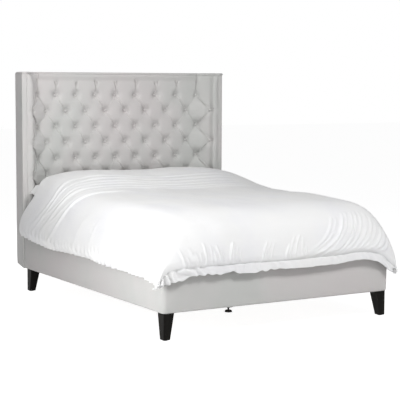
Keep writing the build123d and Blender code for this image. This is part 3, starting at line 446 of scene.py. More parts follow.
def pleats():
    """Pleats as (start, end, valley depth, valley width, groove depth), in metres of run and z."""
    found = []
    held = set(buttons_at)
    for column, row in buttons_at:
        here = (column, row)
        for side in (-1, 1):
            below = (column + side, row - 1)
            if below in held:
                valley, width, groove = falling_pleat if side > 0 else rising_pleat
                valley, groove = valley * rng.uniform(0.6, 1.3), groove * rng.uniform(0.3, 1.3)
                if max(abs(column), abs(column + side)) > edge_column:
                    valley, width, groove = tip_pleat
                found.append((here, below, valley, width, groove))
        # A fan of short creases spreads from the button, most of them to its right
        for turn in fan_turns:
            turn = turn + rng.normal(0, 0.08)
            reach = rng.uniform(0.16, 0.27) if abs(turn) < 1.2 else 0.15
            end = (column + 1.25 * reach * math.cos(turn), row + reach * math.sin(turn))
            found.append((here, end, fan_valley, fan_width, rng.uniform(0.10, 0.42)))
        if row == 1:
            for lean in (-0.10, 0.12):
                top = (column + lean + rng.normal(0, 0.02), 1.85 + rng.uniform(-0.08, 0.08))
                found.append((here, top, *top_pleat))
        if row == last_row:
            found.append((here, (column, lattice_low), *skirt_pleat))
        if abs(column) == edge_column + 1:
            found.append((here, (math.copysign(lattice_edge, column), row), *wing_pleat))
    return [
        (
            np.array((run_at(start[0]), height_at(start[1]))),
            np.array((run_at(end[0]), height_at(end[1]))),
            *form,
        )
        for start, end, *form in found
    ]


pleat_lines = pleats()

# Pits round the buttons, and the plain part of the wings past the outermost diamonds
pit_depth, pit_reach, pit_power = 0.93, 0.029, 1.7
pucker_depth, pucker_reach, pucker_width = 0.0010, 0.023, 0.012
pucker_turns, cross_turns = 11, 17
# How much a pleat fades half way along, by the way it leans
rising_fade, falling_fade = 0.9, 0.35
plain_drop, plain_turn, plain_rim = 0.55, 0.009, 0.05

# How round the crease is at the odd rows, how flat the facets lie, and how fast they turn
crease_round = 0.010
facet_share = 0.85
facet_turn = 0.022


def tuft_height(s, z):
    """Height of the quilted cloth above the button plane."""
    stuffed = np.ones(s.shape)
    grooves = np.zeros(s.shape)
    lips = np.zeros(s.shape)
    for start, end, valley, width, groove in pleat_lines:
        reach = 4 * width
        low, high = np.minimum(start, end) - reach, np.maximum(start, end) + reach
        near = (s > low[0]) & (s < high[0]) & (z > low[1]) & (z < high[1])
        step = end - start
        length = np.linalg.norm(step)
        ds, dz = s[near] - start[0], z[near] - start[1]
        share = np.clip((ds * step[0] + dz * step[1]) / length**2, 0, 1)
        side = (dz * step[0] - ds * step[1]) / length
        bow = pleat_bow * length * np.sin(np.pi * share)
        along = length * (ds * step[0] + dz * step[1]) / length**2 - share * length
        distance = np.hypot(along, side + bow)
        fade = falling_fade if step[0] * step[1] < 0 else rising_fade
        inner = 1 - fade * np.sin(np.pi * share) ** 2
        stuffed[near] *= 1 - valley * inner * np.exp(-((distance / width) ** 1.5))
        line = groove * inner * np.exp(-((distance / groove_width) ** 2))
        grooves[near] = np.maximum(grooves[near], line)
        lip = np.exp(-(((side + bow - lip_offset) / lip_width) ** 2)) * np.sin(np.pi * share)
        lips[near] = np.maximum(lips[near], lip * min(groove, 0.2) * lip_height)
    reach = np.full(s.shape, 9.0)
    angle = np.zeros(s.shape)
    turn = np.zeros(s.shape)
    for index, (column, row) in enumerate(buttons_at):
        dx = s - run_at(column)
        dz = z - height_at(row)
        near = np.hypot(dx, dz)
        closer = near < reach
        angle = np.where(closer, np.arctan2(dz, dx), angle)
        turn = np.where(closer, 1.7 * index, turn)
        reach = np.minimum(reach, near)
    pit = 1 - pit_depth * np.exp(-((reach / pit_reach) ** pit_power))
    pucker = np.cos(pucker_turns * angle + turn)
    pucker = pucker + 0.6 * np.cos(cross_turns * angle - 2.3 * turn)
    pucker = pucker_depth * pucker * np.exp(-(((reach - pucker_reach) / pucker_width) ** 2))
    height = crown * stuffed * pit * (1 - grooves) + pucker + lips
    # Past the outermost diamonds the wing is plain, and lies lower
    row = np.clip((z - row_two_z) / row_spacing, last_row, 1)
    past = np.abs(s) - crease - tip_reach * np.abs(1 - row % 2)
    to_edge = sheet_half - np.abs(s)
    plain = smooth_step(past / plain_turn) * smooth_step((to_edge - 0.02) / plain_rim)
    height = height * (1 - plain_drop * plain * np.where(s > 0, 1, 0.5))
    return height, reach


def sheet_place(s, z, height):
    """Point of the sheet: the run along its inner face, bent round the two creases."""
    sign = np.sign(s)
    x = np.abs(s)
    row = np.clip((z - row_two_z) / row_spacing, last_row, 1)
    # A half diamond spans the crease as one flat facet, from tip to tip
    bridge = np.abs(1 - row % 2)
    panel_bend = crease_round + (half_pitch - crease_round) * bridge
    wing_bend = crease_round + (tip_reach - crease_round) * bridge
    t = np.clip((x - crease + panel_bend) / (panel_bend + wing_bend), 0, 1)
    ax, bx, cx = crease - panel_bend, crease, crease + wing_bend * wing_along.x
    by, cy = button_plane_y, button_plane_y + wing_bend * wing_along.y
    curve_x = (1 - t) ** 2 * ax + 2 * t * (1 - t) * bx + t**2 * cx
    curve_y = (1 - t**2) * by + t**2 * cy
    flat = facet_share * (1 - 0.55 * smooth_step(2 * bridge - 1))
    px = curve_x + flat * (ax + (cx - ax) * t - curve_x)
    py = curve_y + flat * (by + (cy - by) * t - curve_y)
    before = np.minimum(x - (crease - panel_bend), 0)
    after = np.maximum(x - (crease + wing_bend), 0)
    px = px + before + after * wing_along.x
    py = py + after * wing_along.y
    # The way outward turns over a short run at each end of the facet
    first = smooth_step((x - crease + panel_bend) / facet_turn + 0.5)
    second = smooth_step((x - crease - wing_bend) / facet_turn + 0.5)
    angle = math.atan2(wing_along.y, wing_along.x) * (first + second) / 2
    return np.stack([sign * (px + np.sin(angle) * height), py - np.cos(angle) * height, z], -1)


def quilt_patches():
    """Four-sided patches of the lattice, with pleats along their edges."""
    top, low, edge, last = lattice_top, lattice_low, lattice_edge, last_row
    patches = []
    for row in range(last + 1, 1):
        reach = edge_column if row % 2 == 0 else edge_column - 1
        for column in range(-reach, reach + 1, 2):
            patches.append(
                ((column - 1, row), (column, row + 1), (column + 1, row), (column, row - 1))
            )
    for column in range(1 - edge_column, edge_column, 2):
        for side in (-1, 1):
            patches.append(
                ((column + side, 1), (column, 0), (column, top), (column + side, top))
            )
            patches.append(
                ((column + side, last), (column, last + 1), (column, low), (column + side, low))
            )
    for sign in (-1, 1):
        crease_x, tip_x, edge_x = sign * edge_column, sign * (edge_column + 1), sign * edge
        for row in range(last + 1, 1, 2):
            for step in (-1, 1):
                patches.append(
                    ((crease_x, row + step), (tip_x, row), (edge_x, row), (edge_x, row + step))
                )
        patches.append(((crease_x, 1), (edge_x, 1), (edge_x, top), (crease_x, top)))
        patches.append(((crease_x, last), (edge_x, last), (edge_x, low), (crease_x, low)))
    return patches


# The sheet: its grid, and how its cloth rolls over, rises and lies slack
patch_points = 33
edge_share = 0.65
same_place = 20000
roll_width = 0.035
wing_turn = 0.06
top_roll_panel, top_roll_wing = 0.03, 0.07
kept_panel, kept_wing = 0.80, 0.65
button_calm, thinnest = 0.04, 0.001
band_height, band_rise = 0.05, 0.014
sheet_back = -0.014
waves = ((5.5, 1, 0.0022), (16.0, 3, 0.0009))


def tufted_sheet():
    """The closed sheet over the panel and both wings, and the run and height of its top edge."""
    steps = np.linspace(0, 1, patch_points)
    steps = (1 - edge_share) * steps + edge_share * (0.5 - 0.5 * np.cos(np.pi * steps))
    a, b = np.meshgrid(steps, steps, indexing="ij")
    a, b = a[..., None], b[..., None]
    index_of = {}
    places, faces = [], []
    for corners in quilt_patches():
        p, q, r, t = (np.array(corner, float) for corner in corners)
        grid = (1 - a) * (1 - b) * p + a * (1 - b) * q + a * b * r + (1 - a) * b * t
        ids = np.empty((patch_points, patch_points), int)
        for i, j in np.ndindex(ids.shape):
            key = (round(grid[i, j, 0] * same_place), round(grid[i, j, 1] * same_place))
            if key not in index_of:
                index_of[key] = len(places)
                places.append(grid[i, j])
            ids[i, j] = index_of[key]
        for i, j in np.ndindex(patch_points - 1, patch_points - 1):
            faces.append((ids[i, j], ids[i + 1, j], ids[i + 1, j + 1], ids[i, j + 1]))
    places = np.array(places)
    s = run_at(places[:, 0])
    z = height_at(places[:, 1])
    height, reach = tuft_height(s, z)
    # The front edges of the wings roll over to their seams
    to_edge = (sheet_half - np.abs(s)) / roll_width
    edge_roll = np.sqrt(1 - (1 - np.clip(to_edge, 0, 1)) ** 2)
    wing_share = smooth_step((np.abs(s) - crease) / wing_turn)
    to_top = (pad_top - z) / (top_roll_panel + top_roll_wing * wing_share)
    top_roll = np.sqrt(1 - (1 - np.clip(to_top, 0, 1)) ** 2)
    keep = kept_panel - kept_wing * wing_share
    height = height * edge_roll * (keep + (1 - keep) * top_roll)
    band = smooth_step((z - pad_top + band_height) / band_height)
    height = height + band_rise * band * (1 - wing_share)
    cloth = np.stack([s, z, 0 * s], -1)
    soft = sum(ripple(cloth, scale, seed) * size for scale, seed, size in waves)
    soft = soft * np.clip(reach / button_calm, 0, 1) * edge_roll
    height = np.maximum(height + soft, thinnest)
    points = list(sheet_place(s, z, height))

    # Sides and back, which close the sheet
    def border(column, value, along):
        """Points on a border line of the lattice, in order."""
        chosen = [k for k in range(len(places)) if abs(places[k][column] - value) < 1e-6]
        return sorted(chosen, key=lambda k: places[k][along])

    top_line = border(1, lattice_top, 0)
    low_line = border(1, lattice_low, 0)
    backs = {}
    for line in (top_line, low_line):
        behind = sheet_place(s[line], z[line], np.full(len(line), sheet_back))
        for k, point in zip(line, behind):
            backs[k] = len(points)
            points.append(point)
        for k, m in zip(line, line[1:]):
            faces.append((k, m, backs[m], backs[k]))
    for k, m, n, o in zip(top_line, top_line[1:], low_line, low_line[1:]):
        faces.append((backs[k], backs[m], backs[o], backs[n]))
    for value in (-lattice_edge, lattice_edge):
        side_line = border(0, value, 1)
        faces.append(tuple(side_line) + (backs[side_line[-1]], backs[side_line[0]]))
    top_edge = [(s[k], height[k]) for k in top_line]
    return outward(mesh_object("headboard_tufted_cloth", points, faces)), top_edge


tufting, top_edge = tufted_sheet()
put_on(
    tufting,
    cream,
    ["headboard_cushion", "wing_left_pad", "wing_right_pad"],
)


# Covered buttons: domes of the same cloth, each with a turned edge

button_radius, button_rise, button_lift = 0.0105, 0.0065, 0.0100
button_points = 20
button_tilt = 0.05
# From the middle out and round the turned edge: share of the radius, share of the rise
button_profile = (
    (0.35, 0.94),
    (0.65, 0.76),
    (0.86, 0.45),
    (0.97, 0.1),
    (1.0, -0.25),
    (0.9, -0.6),
    (0.55, -0.85),
)


def circle(count):
    """Angles round a full turn."""
    return [2 * math.pi * k / count for k in range(count)]


def covered_buttons():
    """All the buttons, each seated in its pit and tilted a little."""
    points, faces = [], []
    for column, row in buttons_at:
        s, z = run_at(column), height_at(row)
        here, ahead = sheet_place(np.array([s, s]), np.array([z, z]), np.array([0.0, 0.01]))
        out = Vector(ahead - here).normalized()
        turn = Vector((0, 0, 1)).cross(out).normalized()
        up = out.cross(turn)
        start = len(points)
        centre = Vector(here) + out * button_lift
        tilt = rng.normal(0, button_tilt, 2)
        axis = (out + turn * tilt[0] + up * tilt[1]).normalized() * button_rise
        points.append(centre + axis)
        for share, level in button_profile:
            for a in circle(button_points):
                across = (turn * math.cos(a) + up * math.sin(a)) * button_radius * share
                points.append(centre + across + axis * level)
        ring = [start + 1 + k for k in range(button_points)]
        faces += [(start, near, far) for near, far in zip(ring, ring[1:] + ring[:1])]
        faces += ring_faces(button_points, len(button_profile), start + 1)
        last = (len(button_profile) - 1) * button_points
        faces.append(tuple(last + k for k in reversed(ring)))
    return outward(mesh_object("headboard_covered_buttons", points, faces))


buttons = covered_buttons()
put_on(buttons, cream, ["headboard_buttons", "wing_buttons"])


# Upholstered boards: outlines drawn in plan, with rounded and slightly crowned edges


def rounded_outline(corners, radii, steps=6):
    """Plan outline with its corners rounded, as a list of points."""
    outline = []
    count = len(corners)
    for i, (corner, radius) in enumerate(zip(corners, radii)):
        here = Vector(corner)
        before = Vector(corners[i - 1]) - here
        after = Vector(corners[(i + 1) % count]) - here
        if radius <= 0:
            outline.append(here)
            continue
        angle = before.angle(after)
        cut = min(radius / math.tan(angle / 2), before.length * 0.48, after.length * 0.48)
        a = here + before.normalized() * cut
        b = here + after.normalized() * cut
        for k in range(steps + 1):
            t = k / steps
            outline.append((1 - t) ** 2 * a + 2 * t * (1 - t) * here + t**2 * b)
    return outline


def wing_line(y, inward):
    """Half width of the wings' outer faces at a place along Y, or of a line inside them."""
    slope = wing_splay / (back_y - wing_front_y)
    return wing_outer_front - slope * (y - wing_front_y) - inward * math.hypot(1, slope)


def resample(outline, spacing):
    """Points along a closed outline, no further apart than the spacing."""
    result = []
    for i, here in enumerate(outline):
        ahead = outline[(i + 1) % len(outline)]
        parts = max(1, int(math.ceil((ahead - here).length / spacing)))
        for k in range(parts):
            result.append(here.lerp(ahead, k / parts))
    return result


def inset(outline, distance):
    """The outline moved inward."""
    count = len(outline)
    area = sum(
        outline[i].x * outline[(i + 1) % count].y - outline[(i + 1) % count].x * outline[i].y
        for i in range(count)
    )
    side = 1 if area > 0 else -1
    moved = []
    for i in range(count):
        direction = (outline[(i + 1) % count] - outline[i - 1]).normalized()
        moved.append(outline[i] + Vector((-direction.y, direction.x)) * distance * side)
    return moved


quarter_turn = [math.pi / 2 * k / 5 for k in range(6)]
outline_step, level_step = 0.03, 0.04


def upholstered_block(name, outline, bottom, top, edge, foot_edge, cut_back=None):
    """A cloth-covered block: a plan outline raised between two heights, with soft edges."""
    outline = resample(outline, outline_step)
    sections = [
        (bottom + foot_edge * (1 - math.cos(a)), foot_edge * (1 - math.sin(a)))
        for a in quarter_turn
    ]
    levels = int((top - bottom) / level_step)
    side = top - bottom - foot_edge - edge
    sections += [(bottom + foot_edge + side * k / levels, 0) for k in range(1, levels)]
    sections += [
        (top - edge * (1 - math.sin(a)), edge * (1 - math.cos(a))) for a in quarter_turn
    ]
    rings = []
    for z, pull in sections:
        limit = cut_back(z) if cut_back else math.inf
        rings.append([Vector((p.x, min(p.y, limit), z)) for p in inset(outline, pull)])
    return sweep(name, rings)


def back_corner(z, radius=0.03):
    """How far back the side outline reaches at a height, with its two corners rounded."""
    for level, sign in ((headboard_top, -1), (rail_bottom, 1)):
        depth = sign * (z - level)
        if depth < radius:
            return back_y - radius + math.sqrt(max(radius**2 - (radius - depth) ** 2, 0))
    return back_y


# Cloth over the front strip and the outer face of each wing
strip_inner = wing_inner_edge + 0.0045
cover_depth = 0.015
strip_back = wing_front_y + cover_depth
cover_radii = [0.004, 0.014, 0.008, 0.003, 0.002, 0.003]
cloth_edge, cloth_foot_edge = 0.003, 0.006
sides = (("left", -1), ("right", 1))
for side, sign in sides:
    corners = [
        (strip_inner, wing_front_y),
        (wing_outer_front, wing_front_y),
        (wing_line(back_y, 0), back_y),
        (wing_line(back_y, cover_depth), back_y),
        (wing_line(strip_back, cover_depth), strip_back),
        (strip_inner, strip_back),
    ]
    cover = upholstered_block(
        f"wing_{side}_cloth",
        rounded_outline([(sign * x, y) for x, y in corners], cover_radii),
        rail_bottom,
        pad_top + 0.001,
        cloth_edge,
        cloth_foot_edge,
        back_corner,
    )
    put_on(cover, cream, [f"wing_{side}_cover"])

# Cloth over the top of the headboard and of both wings, in one strip
back_run = wing_line(back_y, 0) - crease
side_run = math.hypot(wing_splay, back_y - wing_front_y)
strip_low = pad_top + 0.0006
strip_round = 0.012
back_gap, side_gap = 0.001, 0.0005


def strip_end(s):
    """Place on the back or outer edge that lies across from a place on the front edge."""
    sign = 1 if s > 0 else -1
    run = (abs(s) - crease) / (sheet_half - crease) * (back_run + side_run)
    if run <= 0:
        return Vector((s, back_y - back_gap, 0))
    if run < back_run:
        return Vector((sign * (crease + run), back_y - back_gap, 0))
    share = (run - back_run) / side_run
    y = back_y + (wing_front_y - back_y) * share
    return Vector((sign * (wing_line(y, 0) - side_gap), y - back_gap * (1 - share), 0))


def top_strip():
    """Strip from the quilted front edge over the top to the back and outer edges."""
    rings = []
    for s, height in top_edge:
        behind, ahead = sheet_place(
            np.array([s, s]), np.array([pad_top, pad_top]), np.array([0.0, 0.01])
        )
        front = Vector(behind) + Vector(ahead - behind).normalized() * height
        front.z = 0
        outer = strip_end(s)
        inward = (outer - front).normalized()
        soft = min(strip_round, (outer - front).length * 0.4)
        rise = [
            (soft * (1 - math.cos(a)), strip_low + (headboard_top - strip_low) * math.sin(a))
            for a in quarter_turn
        ]
        ring = [(front + inward * shift, level) for shift, level in rise]
        ring += [(outer - inward * shift, level) for shift, level in reversed(rise)]
        rings.append(
            [Vector((place.x, min(place.y, back_corner(level)), level)) for place, level in ring]
        )
    return sweep("headboard_top_cloth", rings)


top_cloth = top_strip()
put_on(top_cloth, cream, ["headboard_top_cover"])

# Cloth on the back, between the wings' covers
back_inset = 0.0155
back_corners = [
    (sign * wing_line(y, back_inset), y)
    for sign, y in ((-1, back_cloth_y), (1, back_cloth_y), (1, back_y), (-1, back_y))
]
back_cloth = upholstered_block(
    "headboard_back_cloth",
    rounded_outline(back_corners, [0, 0, 0.004, 0.004]),
    rail_bottom,
    pad_top - 0.0015,
    cloth_edge,
    cloth_foot_edge,
    back_corner,
)
put_on(back_cloth, cream, ["headboard_back_cover"])

# Piping along the front edge of each wing
piping_radius, piping_wobble = 0.0048, 0.00025
piping_y = wing_front_y + 0.0022
piping_heights = np.linspace(piping_low.z, piping_high.z - 0.001, 240)
for side, sign in sides:
    rings = []
    for index, z in enumerate(piping_heights):
        radius = piping_radius + piping_wobble * math.sin(index * 0.9)
        rings.append(
            [
                Vector(
                    (
                        sign * wing_inner_edge + radius * math.cos(a),
                        piping_y + radius * math.sin(a),
                        z,
                    )
                )
                for a in circle(14)
            ]
        )
    piping = sweep(f"wing_{side}_welt", rings)
    put_on(piping, cream, [f"wing_{side}_piping"])


# Rails: one padded cover swept round three sides, with soft edges and rounded corners

rail_corner = 0.030
rail_width = 0.070
rail_edge = 0.012
rail_belly = 0.0035
board_thickness = 0.045
lip_drop = 0.036
pad_thickness = 0.009
rail_gap = 0.0003


def rail_run():
    """Places round the three rails, each with its way outward."""
    turn_x, turn_y = half_base - rail_corner, foot_y + rail_corner
    legs = []
    for sign in (-1, 1):
        leg = [
            (Vector((sign * half_base, y)), Vector((sign, 0)))
            for y in np.linspace(wing_front_y - 0.0005, turn_y, 60)
        ]
        for k in range(1, 12):
            a = math.pi / 2 * k / 12
            out = Vector((sign * math.cos(a), -math.sin(a)))
            leg.append((Vector((sign * turn_x, turn_y)) + out * rail_corner, out))
        leg.append((Vector((sign * turn_x, foot_y)), Vector((0, -1))))
        legs.append(leg)
    middle = [
        (Vector((x, foot_y)), Vector((0, -1))) for x in np.linspace(-turn_x, turn_x, 60)[1:-1]
    ]
    return legs[0] + middle + legs[1][::-1]


def rail_section():
    """Section of the cover as depth in from the outer face and height, from the bottom up."""
    section = []
    for z in np.linspace(rail_bottom + 0.008, rail_top - rail_edge, 26):
        share = (z - rail_bottom) / (rail_top - rail_bottom)
        section.append((rail_belly * (1 - math.sin(math.pi * share) ** 0.6), z))
    for k in range(1, 8):
        a = math.pi / 2 * k / 8
        depth = rail_edge * (1 - math.cos(a)) + 0.0005
        section.append((depth, rail_top - rail_edge * (1 - math.sin(a))))
    section += [(d, rail_top) for d in np.linspace(rail_edge, rail_width - rail_edge, 6)]
    for k in range(1, 6):
        a = math.pi / 2 * k / 6
        depth = rail_width - rail_edge * (1 - math.sin(a))
        section.append((depth, rail_top - rail_edge * (1 - math.cos(a))))
    outer = half_base - side_board_high.x
    inner = outer + board_thickness
    section += [
        (rail_width, rail_top - lip_drop),
        (inner + rail_gap, rail_top - lip_drop),
        (inner + rail_gap, rail_top - pad_thickness + rail_gap),
        (outer - rail_gap, rail_top - pad_thickness + rail_gap),
        (outer - rail_gap, rail_bottom + 0.003),
        (inner, rail_bottom + 0.003),
        (inner, rail_bottom),
        (0.010, rail_bottom),
        (0.005, rail_bottom + 0.002),
    ]
    return section


def rail_cover():
    """The cover over all three rails; inside the two corners its depths meet in a mitre."""
    section = rail_section()
    rings = []
    for place, out in rail_run():
        ring = []
        for depth, z in section:
            point = place - out * depth
            if abs(out.x * out.y) > 1e-6 and depth > rail_corner * 0.9:
                sign = 1 if place.x > 0 else -1
                centre = Vector((sign * (half_base - rail_corner), foot_y + rail_corner))
                point = centre - Vector((sign, -1)) * max(depth - rail_corner, 0)
            ring.append(Vector((point.x, point.y, z)))
        rings.append(ring)
    return sweep("rail_cloth", rings)


rail_cloth = rail_cover()
put_on(
    rail_cloth,
    cream,
    ["foot_rail_cover", "side_rail_left_cover", "side_rail_right_cover"],
)


# Duvet: a filled cover, rounded over the bed, with a flat flange sewn round its edge

duvet_out, duvet_seat = 0.046, 0.004
duvet_side = half_base + duvet_out
duvet_foot = duvet_low.y + duvet_seat
side_round, side_power = 0.24, 2.8
foot_round, foot_power = 0.37, 2.5
flange_width = 0.052
filling = 0.034

# Height of the top along the bed: distance from the foot, shoulders, crowns, middle
duvet_tops = (
    (0.00, 0.700, 0.020, 0.020),
    (0.29, 0.708, 0.024, 0.018),
    (0.62, 0.720, 0.024, 0.018),
    (1.03, 0.724, 0.026, 0.020),
    (1.25, 0.728, 0.032, 0.022),
    (1.45, 0.741, 0.050, 0.032),
    (1.62, 0.760, 0.070, 0.050),
    (1.76, 0.774, 0.078, 0.066),
    (1.92, 0.774, 0.078, 0.068),
    (2.07, 0.766, 0.068, 0.056),
)
upper_hem = ((-0.70, 0.354), (-0.12, 0.370), (0.48, 0.366), (0.91, 0.400))
left_hem = ((-1.18, 0.325), (-1.02, 0.345)) + upper_hem
right_hem = ((-1.18, 0.275), (-1.02, 0.300)) + upper_hem
foot_hem = (
    (-0.87, 0.325),
    (-0.80, 0.338),
    (-0.68, 0.356),
    (-0.33, 0.371),
    (0.00, 0.368),
    (0.37, 0.374),
    (0.66, 0.372),
    (0.74, 0.350),
    (0.80, 0.305),
    (0.88, 0.272),
)
# Where the head edge is drawn back: place across, width and distance
head_draws = ((-0.85, 0.14, 0.15), (0.88, 0.16, 0.16))
side_points, foot_points, flat_points, along_points = 88, 110, 250, 300
# The crowns reach in from the edge; the middle lies lower between them
crown_inset, crown_middle, crown_power = 0.025, 0.5, 0.9


def eased(x, table, column=1):
    """Value between the rows of a table, without kinks."""
    keys = np.array([row[0] for row in table])
    values = np.array([row[column] for row in table])
    x = np.clip(x, keys[0], keys[-1])
    index = np.clip(np.searchsorted(keys, x, side="right") - 1, 0, len(keys) - 2)
    slopes = np.gradient(values, keys)
    h = keys[index + 1] - keys[index]
    t = (x - keys[index]) / h
    return (
        (2 * t**3 - 3 * t**2 + 1) * values[index]
        + (t**3 - 2 * t**2 + t) * h * slopes[index]
        + (-2 * t**3 + 3 * t**2) * values[index + 1]
        + (t**3 - t**2) * h * slopes[index + 1]
    )


def round_over(count, reach, power):
    """Distances in from an outer face, and shares of the rise, over a rounded shoulder."""
    turn = np.linspace(0, 1, count) ** 1.3 * np.pi / 2
    return reach * (1 - np.cos(turn) ** (2 / power)), np.sin(turn) ** (2 / power)


def duvet_form():
    """Plain outer form of the duvet, with cloth coordinates across and along it."""
    in_x, rise_x = round_over(side_points, side_round, side_power)
    in_y, rise_y = round_over(foot_points, foot_round, foot_power)
    flat_x = duvet_side - side_round
    middle_x = np.linspace(-flat_x, flat_x, flat_points)[1:-1]
    across = np.concatenate([in_x - duvet_side, middle_x, (duvet_side - in_x)[::-1]])
    share_x = np.concatenate([rise_x, np.ones(flat_points - 2), rise_x[::-1]])
    flat_y = np.linspace(duvet_foot + foot_round, duvet_high.y, along_points)[1:]
    along = np.concatenate([duvet_foot + in_y, flat_y])
    share_y = np.concatenate([rise_y, np.ones(along_points - 1)])
    x, y = np.meshgrid(across, along, indexing="ij")
    a, b = np.meshgrid(share_x, share_y, indexing="ij")
    run = y - duvet_low.y
    shoulder, swell, middle = (eased(run, duvet_tops, column) for column in (1, 2, 3))
    q = np.abs(x) / (half_base - crown_inset)
    inner = middle + (swell - middle) * smooth_step(q / crown_middle)
    past = np.clip((q - crown_middle) / (1 - crown_middle), 0, 1)
    outer = swell * np.cos(np.pi / 2 * past) ** crown_power
    top = shoulder + np.where(q < crown_middle, inner, outer)
    side_z = np.where(x < 0, eased(y, left_hem), eased(y, right_hem))
    foot_z = eased(x, foot_hem)
    side_pull, foot_pull = 1 - a + 1e-6, 1 - b + 1e-6
    hem = (side_pull * side_z + foot_pull * foot_z) / (side_pull + foot_pull)
    z = hem + (top - hem) * a * b
    middle_row = len(across) // 2
    line = np.stack([x, y, z], -1)
    step_u = np.linalg.norm(np.diff(line[:, len(along) // 2], axis=0), axis=1)
    step_v = np.linalg.norm(np.diff(line[middle_row], axis=0), axis=1)
    u = np.concatenate([[0], np.cumsum(step_u)])
    v = np.concatenate([[0], np.cumsum(step_v)])
    u, v = np.meshgrid(u - u[middle_row], v, indexing="ij")
    # The head edge is drawn back at both corners, where it falls to the sides
    toward_head = smooth_step((y + 0.1) / (duvet_high.y + 0.1)) ** 1.5
    for centre, width, distance in head_draws:
        y = y - distance * np.exp(-(((u - centre) / width) ** 2)) * toward_head
    return np.stack([x, y, z], -1), u, v


def fold(u, v, path, width, height, taper=0.6):
    """Ridge along a bent path on the cloth, with a hollow on each side of it."""
    start, bend, end = (np.array(point) for point in path)
    t = np.linspace(0, 1, 12)[:, None]
    line = (1 - t) ** 2 * start + 2 * t * (1 - t) * bend + t**2 * end
    low, high = line.min(0) - 3 * width, line.max(0) + 3 * width
    near = (u > low[0]) & (u < high[0]) & (v > low[1]) & (v < high[1])
    result = np.zeros(u.shape)
    if not near.any():
        return result
    place = np.stack([u[near], v[near]], -1)
    distance = np.full(len(place), 9.0)
    along = np.zeros(len(place))
    for k in range(len(line) - 1):
        step = line[k + 1] - line[k]
        share = np.clip(((place - line[k]) @ step) / (step @ step), 0, 1)
        reach = np.linalg.norm(place - line[k] - share[:, None] * step, axis=1)
        along = np.where(reach < distance, (k + share) / (len(line) - 1), along)
        distance = np.minimum(distance, reach)
    r = (distance / width) ** 2
    strength = np.clip(np.sin(np.pi * np.clip(along, 0.001, 0.999)), 0, 1) ** taper
    result[near] = height * strength * (1 - 0.75 * r) * np.exp(-r)
    return result


# Folds of the duvet, in metres across from the middle and along from the foot
sweep_count, sweep_width, sweep_height = 15, 0.011, 0.0085
gather_step, gather_width, gather_height = 0.030, 0.009, 0.0075
# Short gathers that rise from the foot seam: place, how many, lean
gathers = (
    (-0.66, 4, -0.25),
    (-0.56, 3, -0.05),
    (-0.47, 3, -0.15),
    (-0.37, 3, 0.25),
    (-0.15, 3, 0.35),
    (0.02, 3, 0.4),
    (0.12, 2, 0.15),
)
# Long folds over the pillows and down the left side: start, end, strength, length, width
long_folds = (
    (1.47, 1.83, 1.0, 1.0, 0.019),
    (1.56, 1.93, 0.30, 0.6, 0.013),
    (1.66, 1.96, 0.55, 0.85, 0.022),
    (1.74, 2.02, 0.30, 0.5, 0.012),
    (1.83, 2.05, 0.45, 0.9, 0.017),
    (1.95, 2.10, 0.40, 0.7, 0.024),
)
long_height = 0.0095
# Slack folds on the middle of the left side: place, lean, height
slack_folds = (
    (0.52, 0.05, 0.0015),
    (0.86, 0.10, 0.002),
    (1.16, 0.12, 0.002),
    (1.38, 0.16, 0.002),
)
ridge_width, ridge_height, slack_width = 0.022, 0.0055, 0.020
crinkle_pitch, crinkle_reach = 0.055, 0.055
crinkle_left, crinkle_right = 0.019, 0.0045


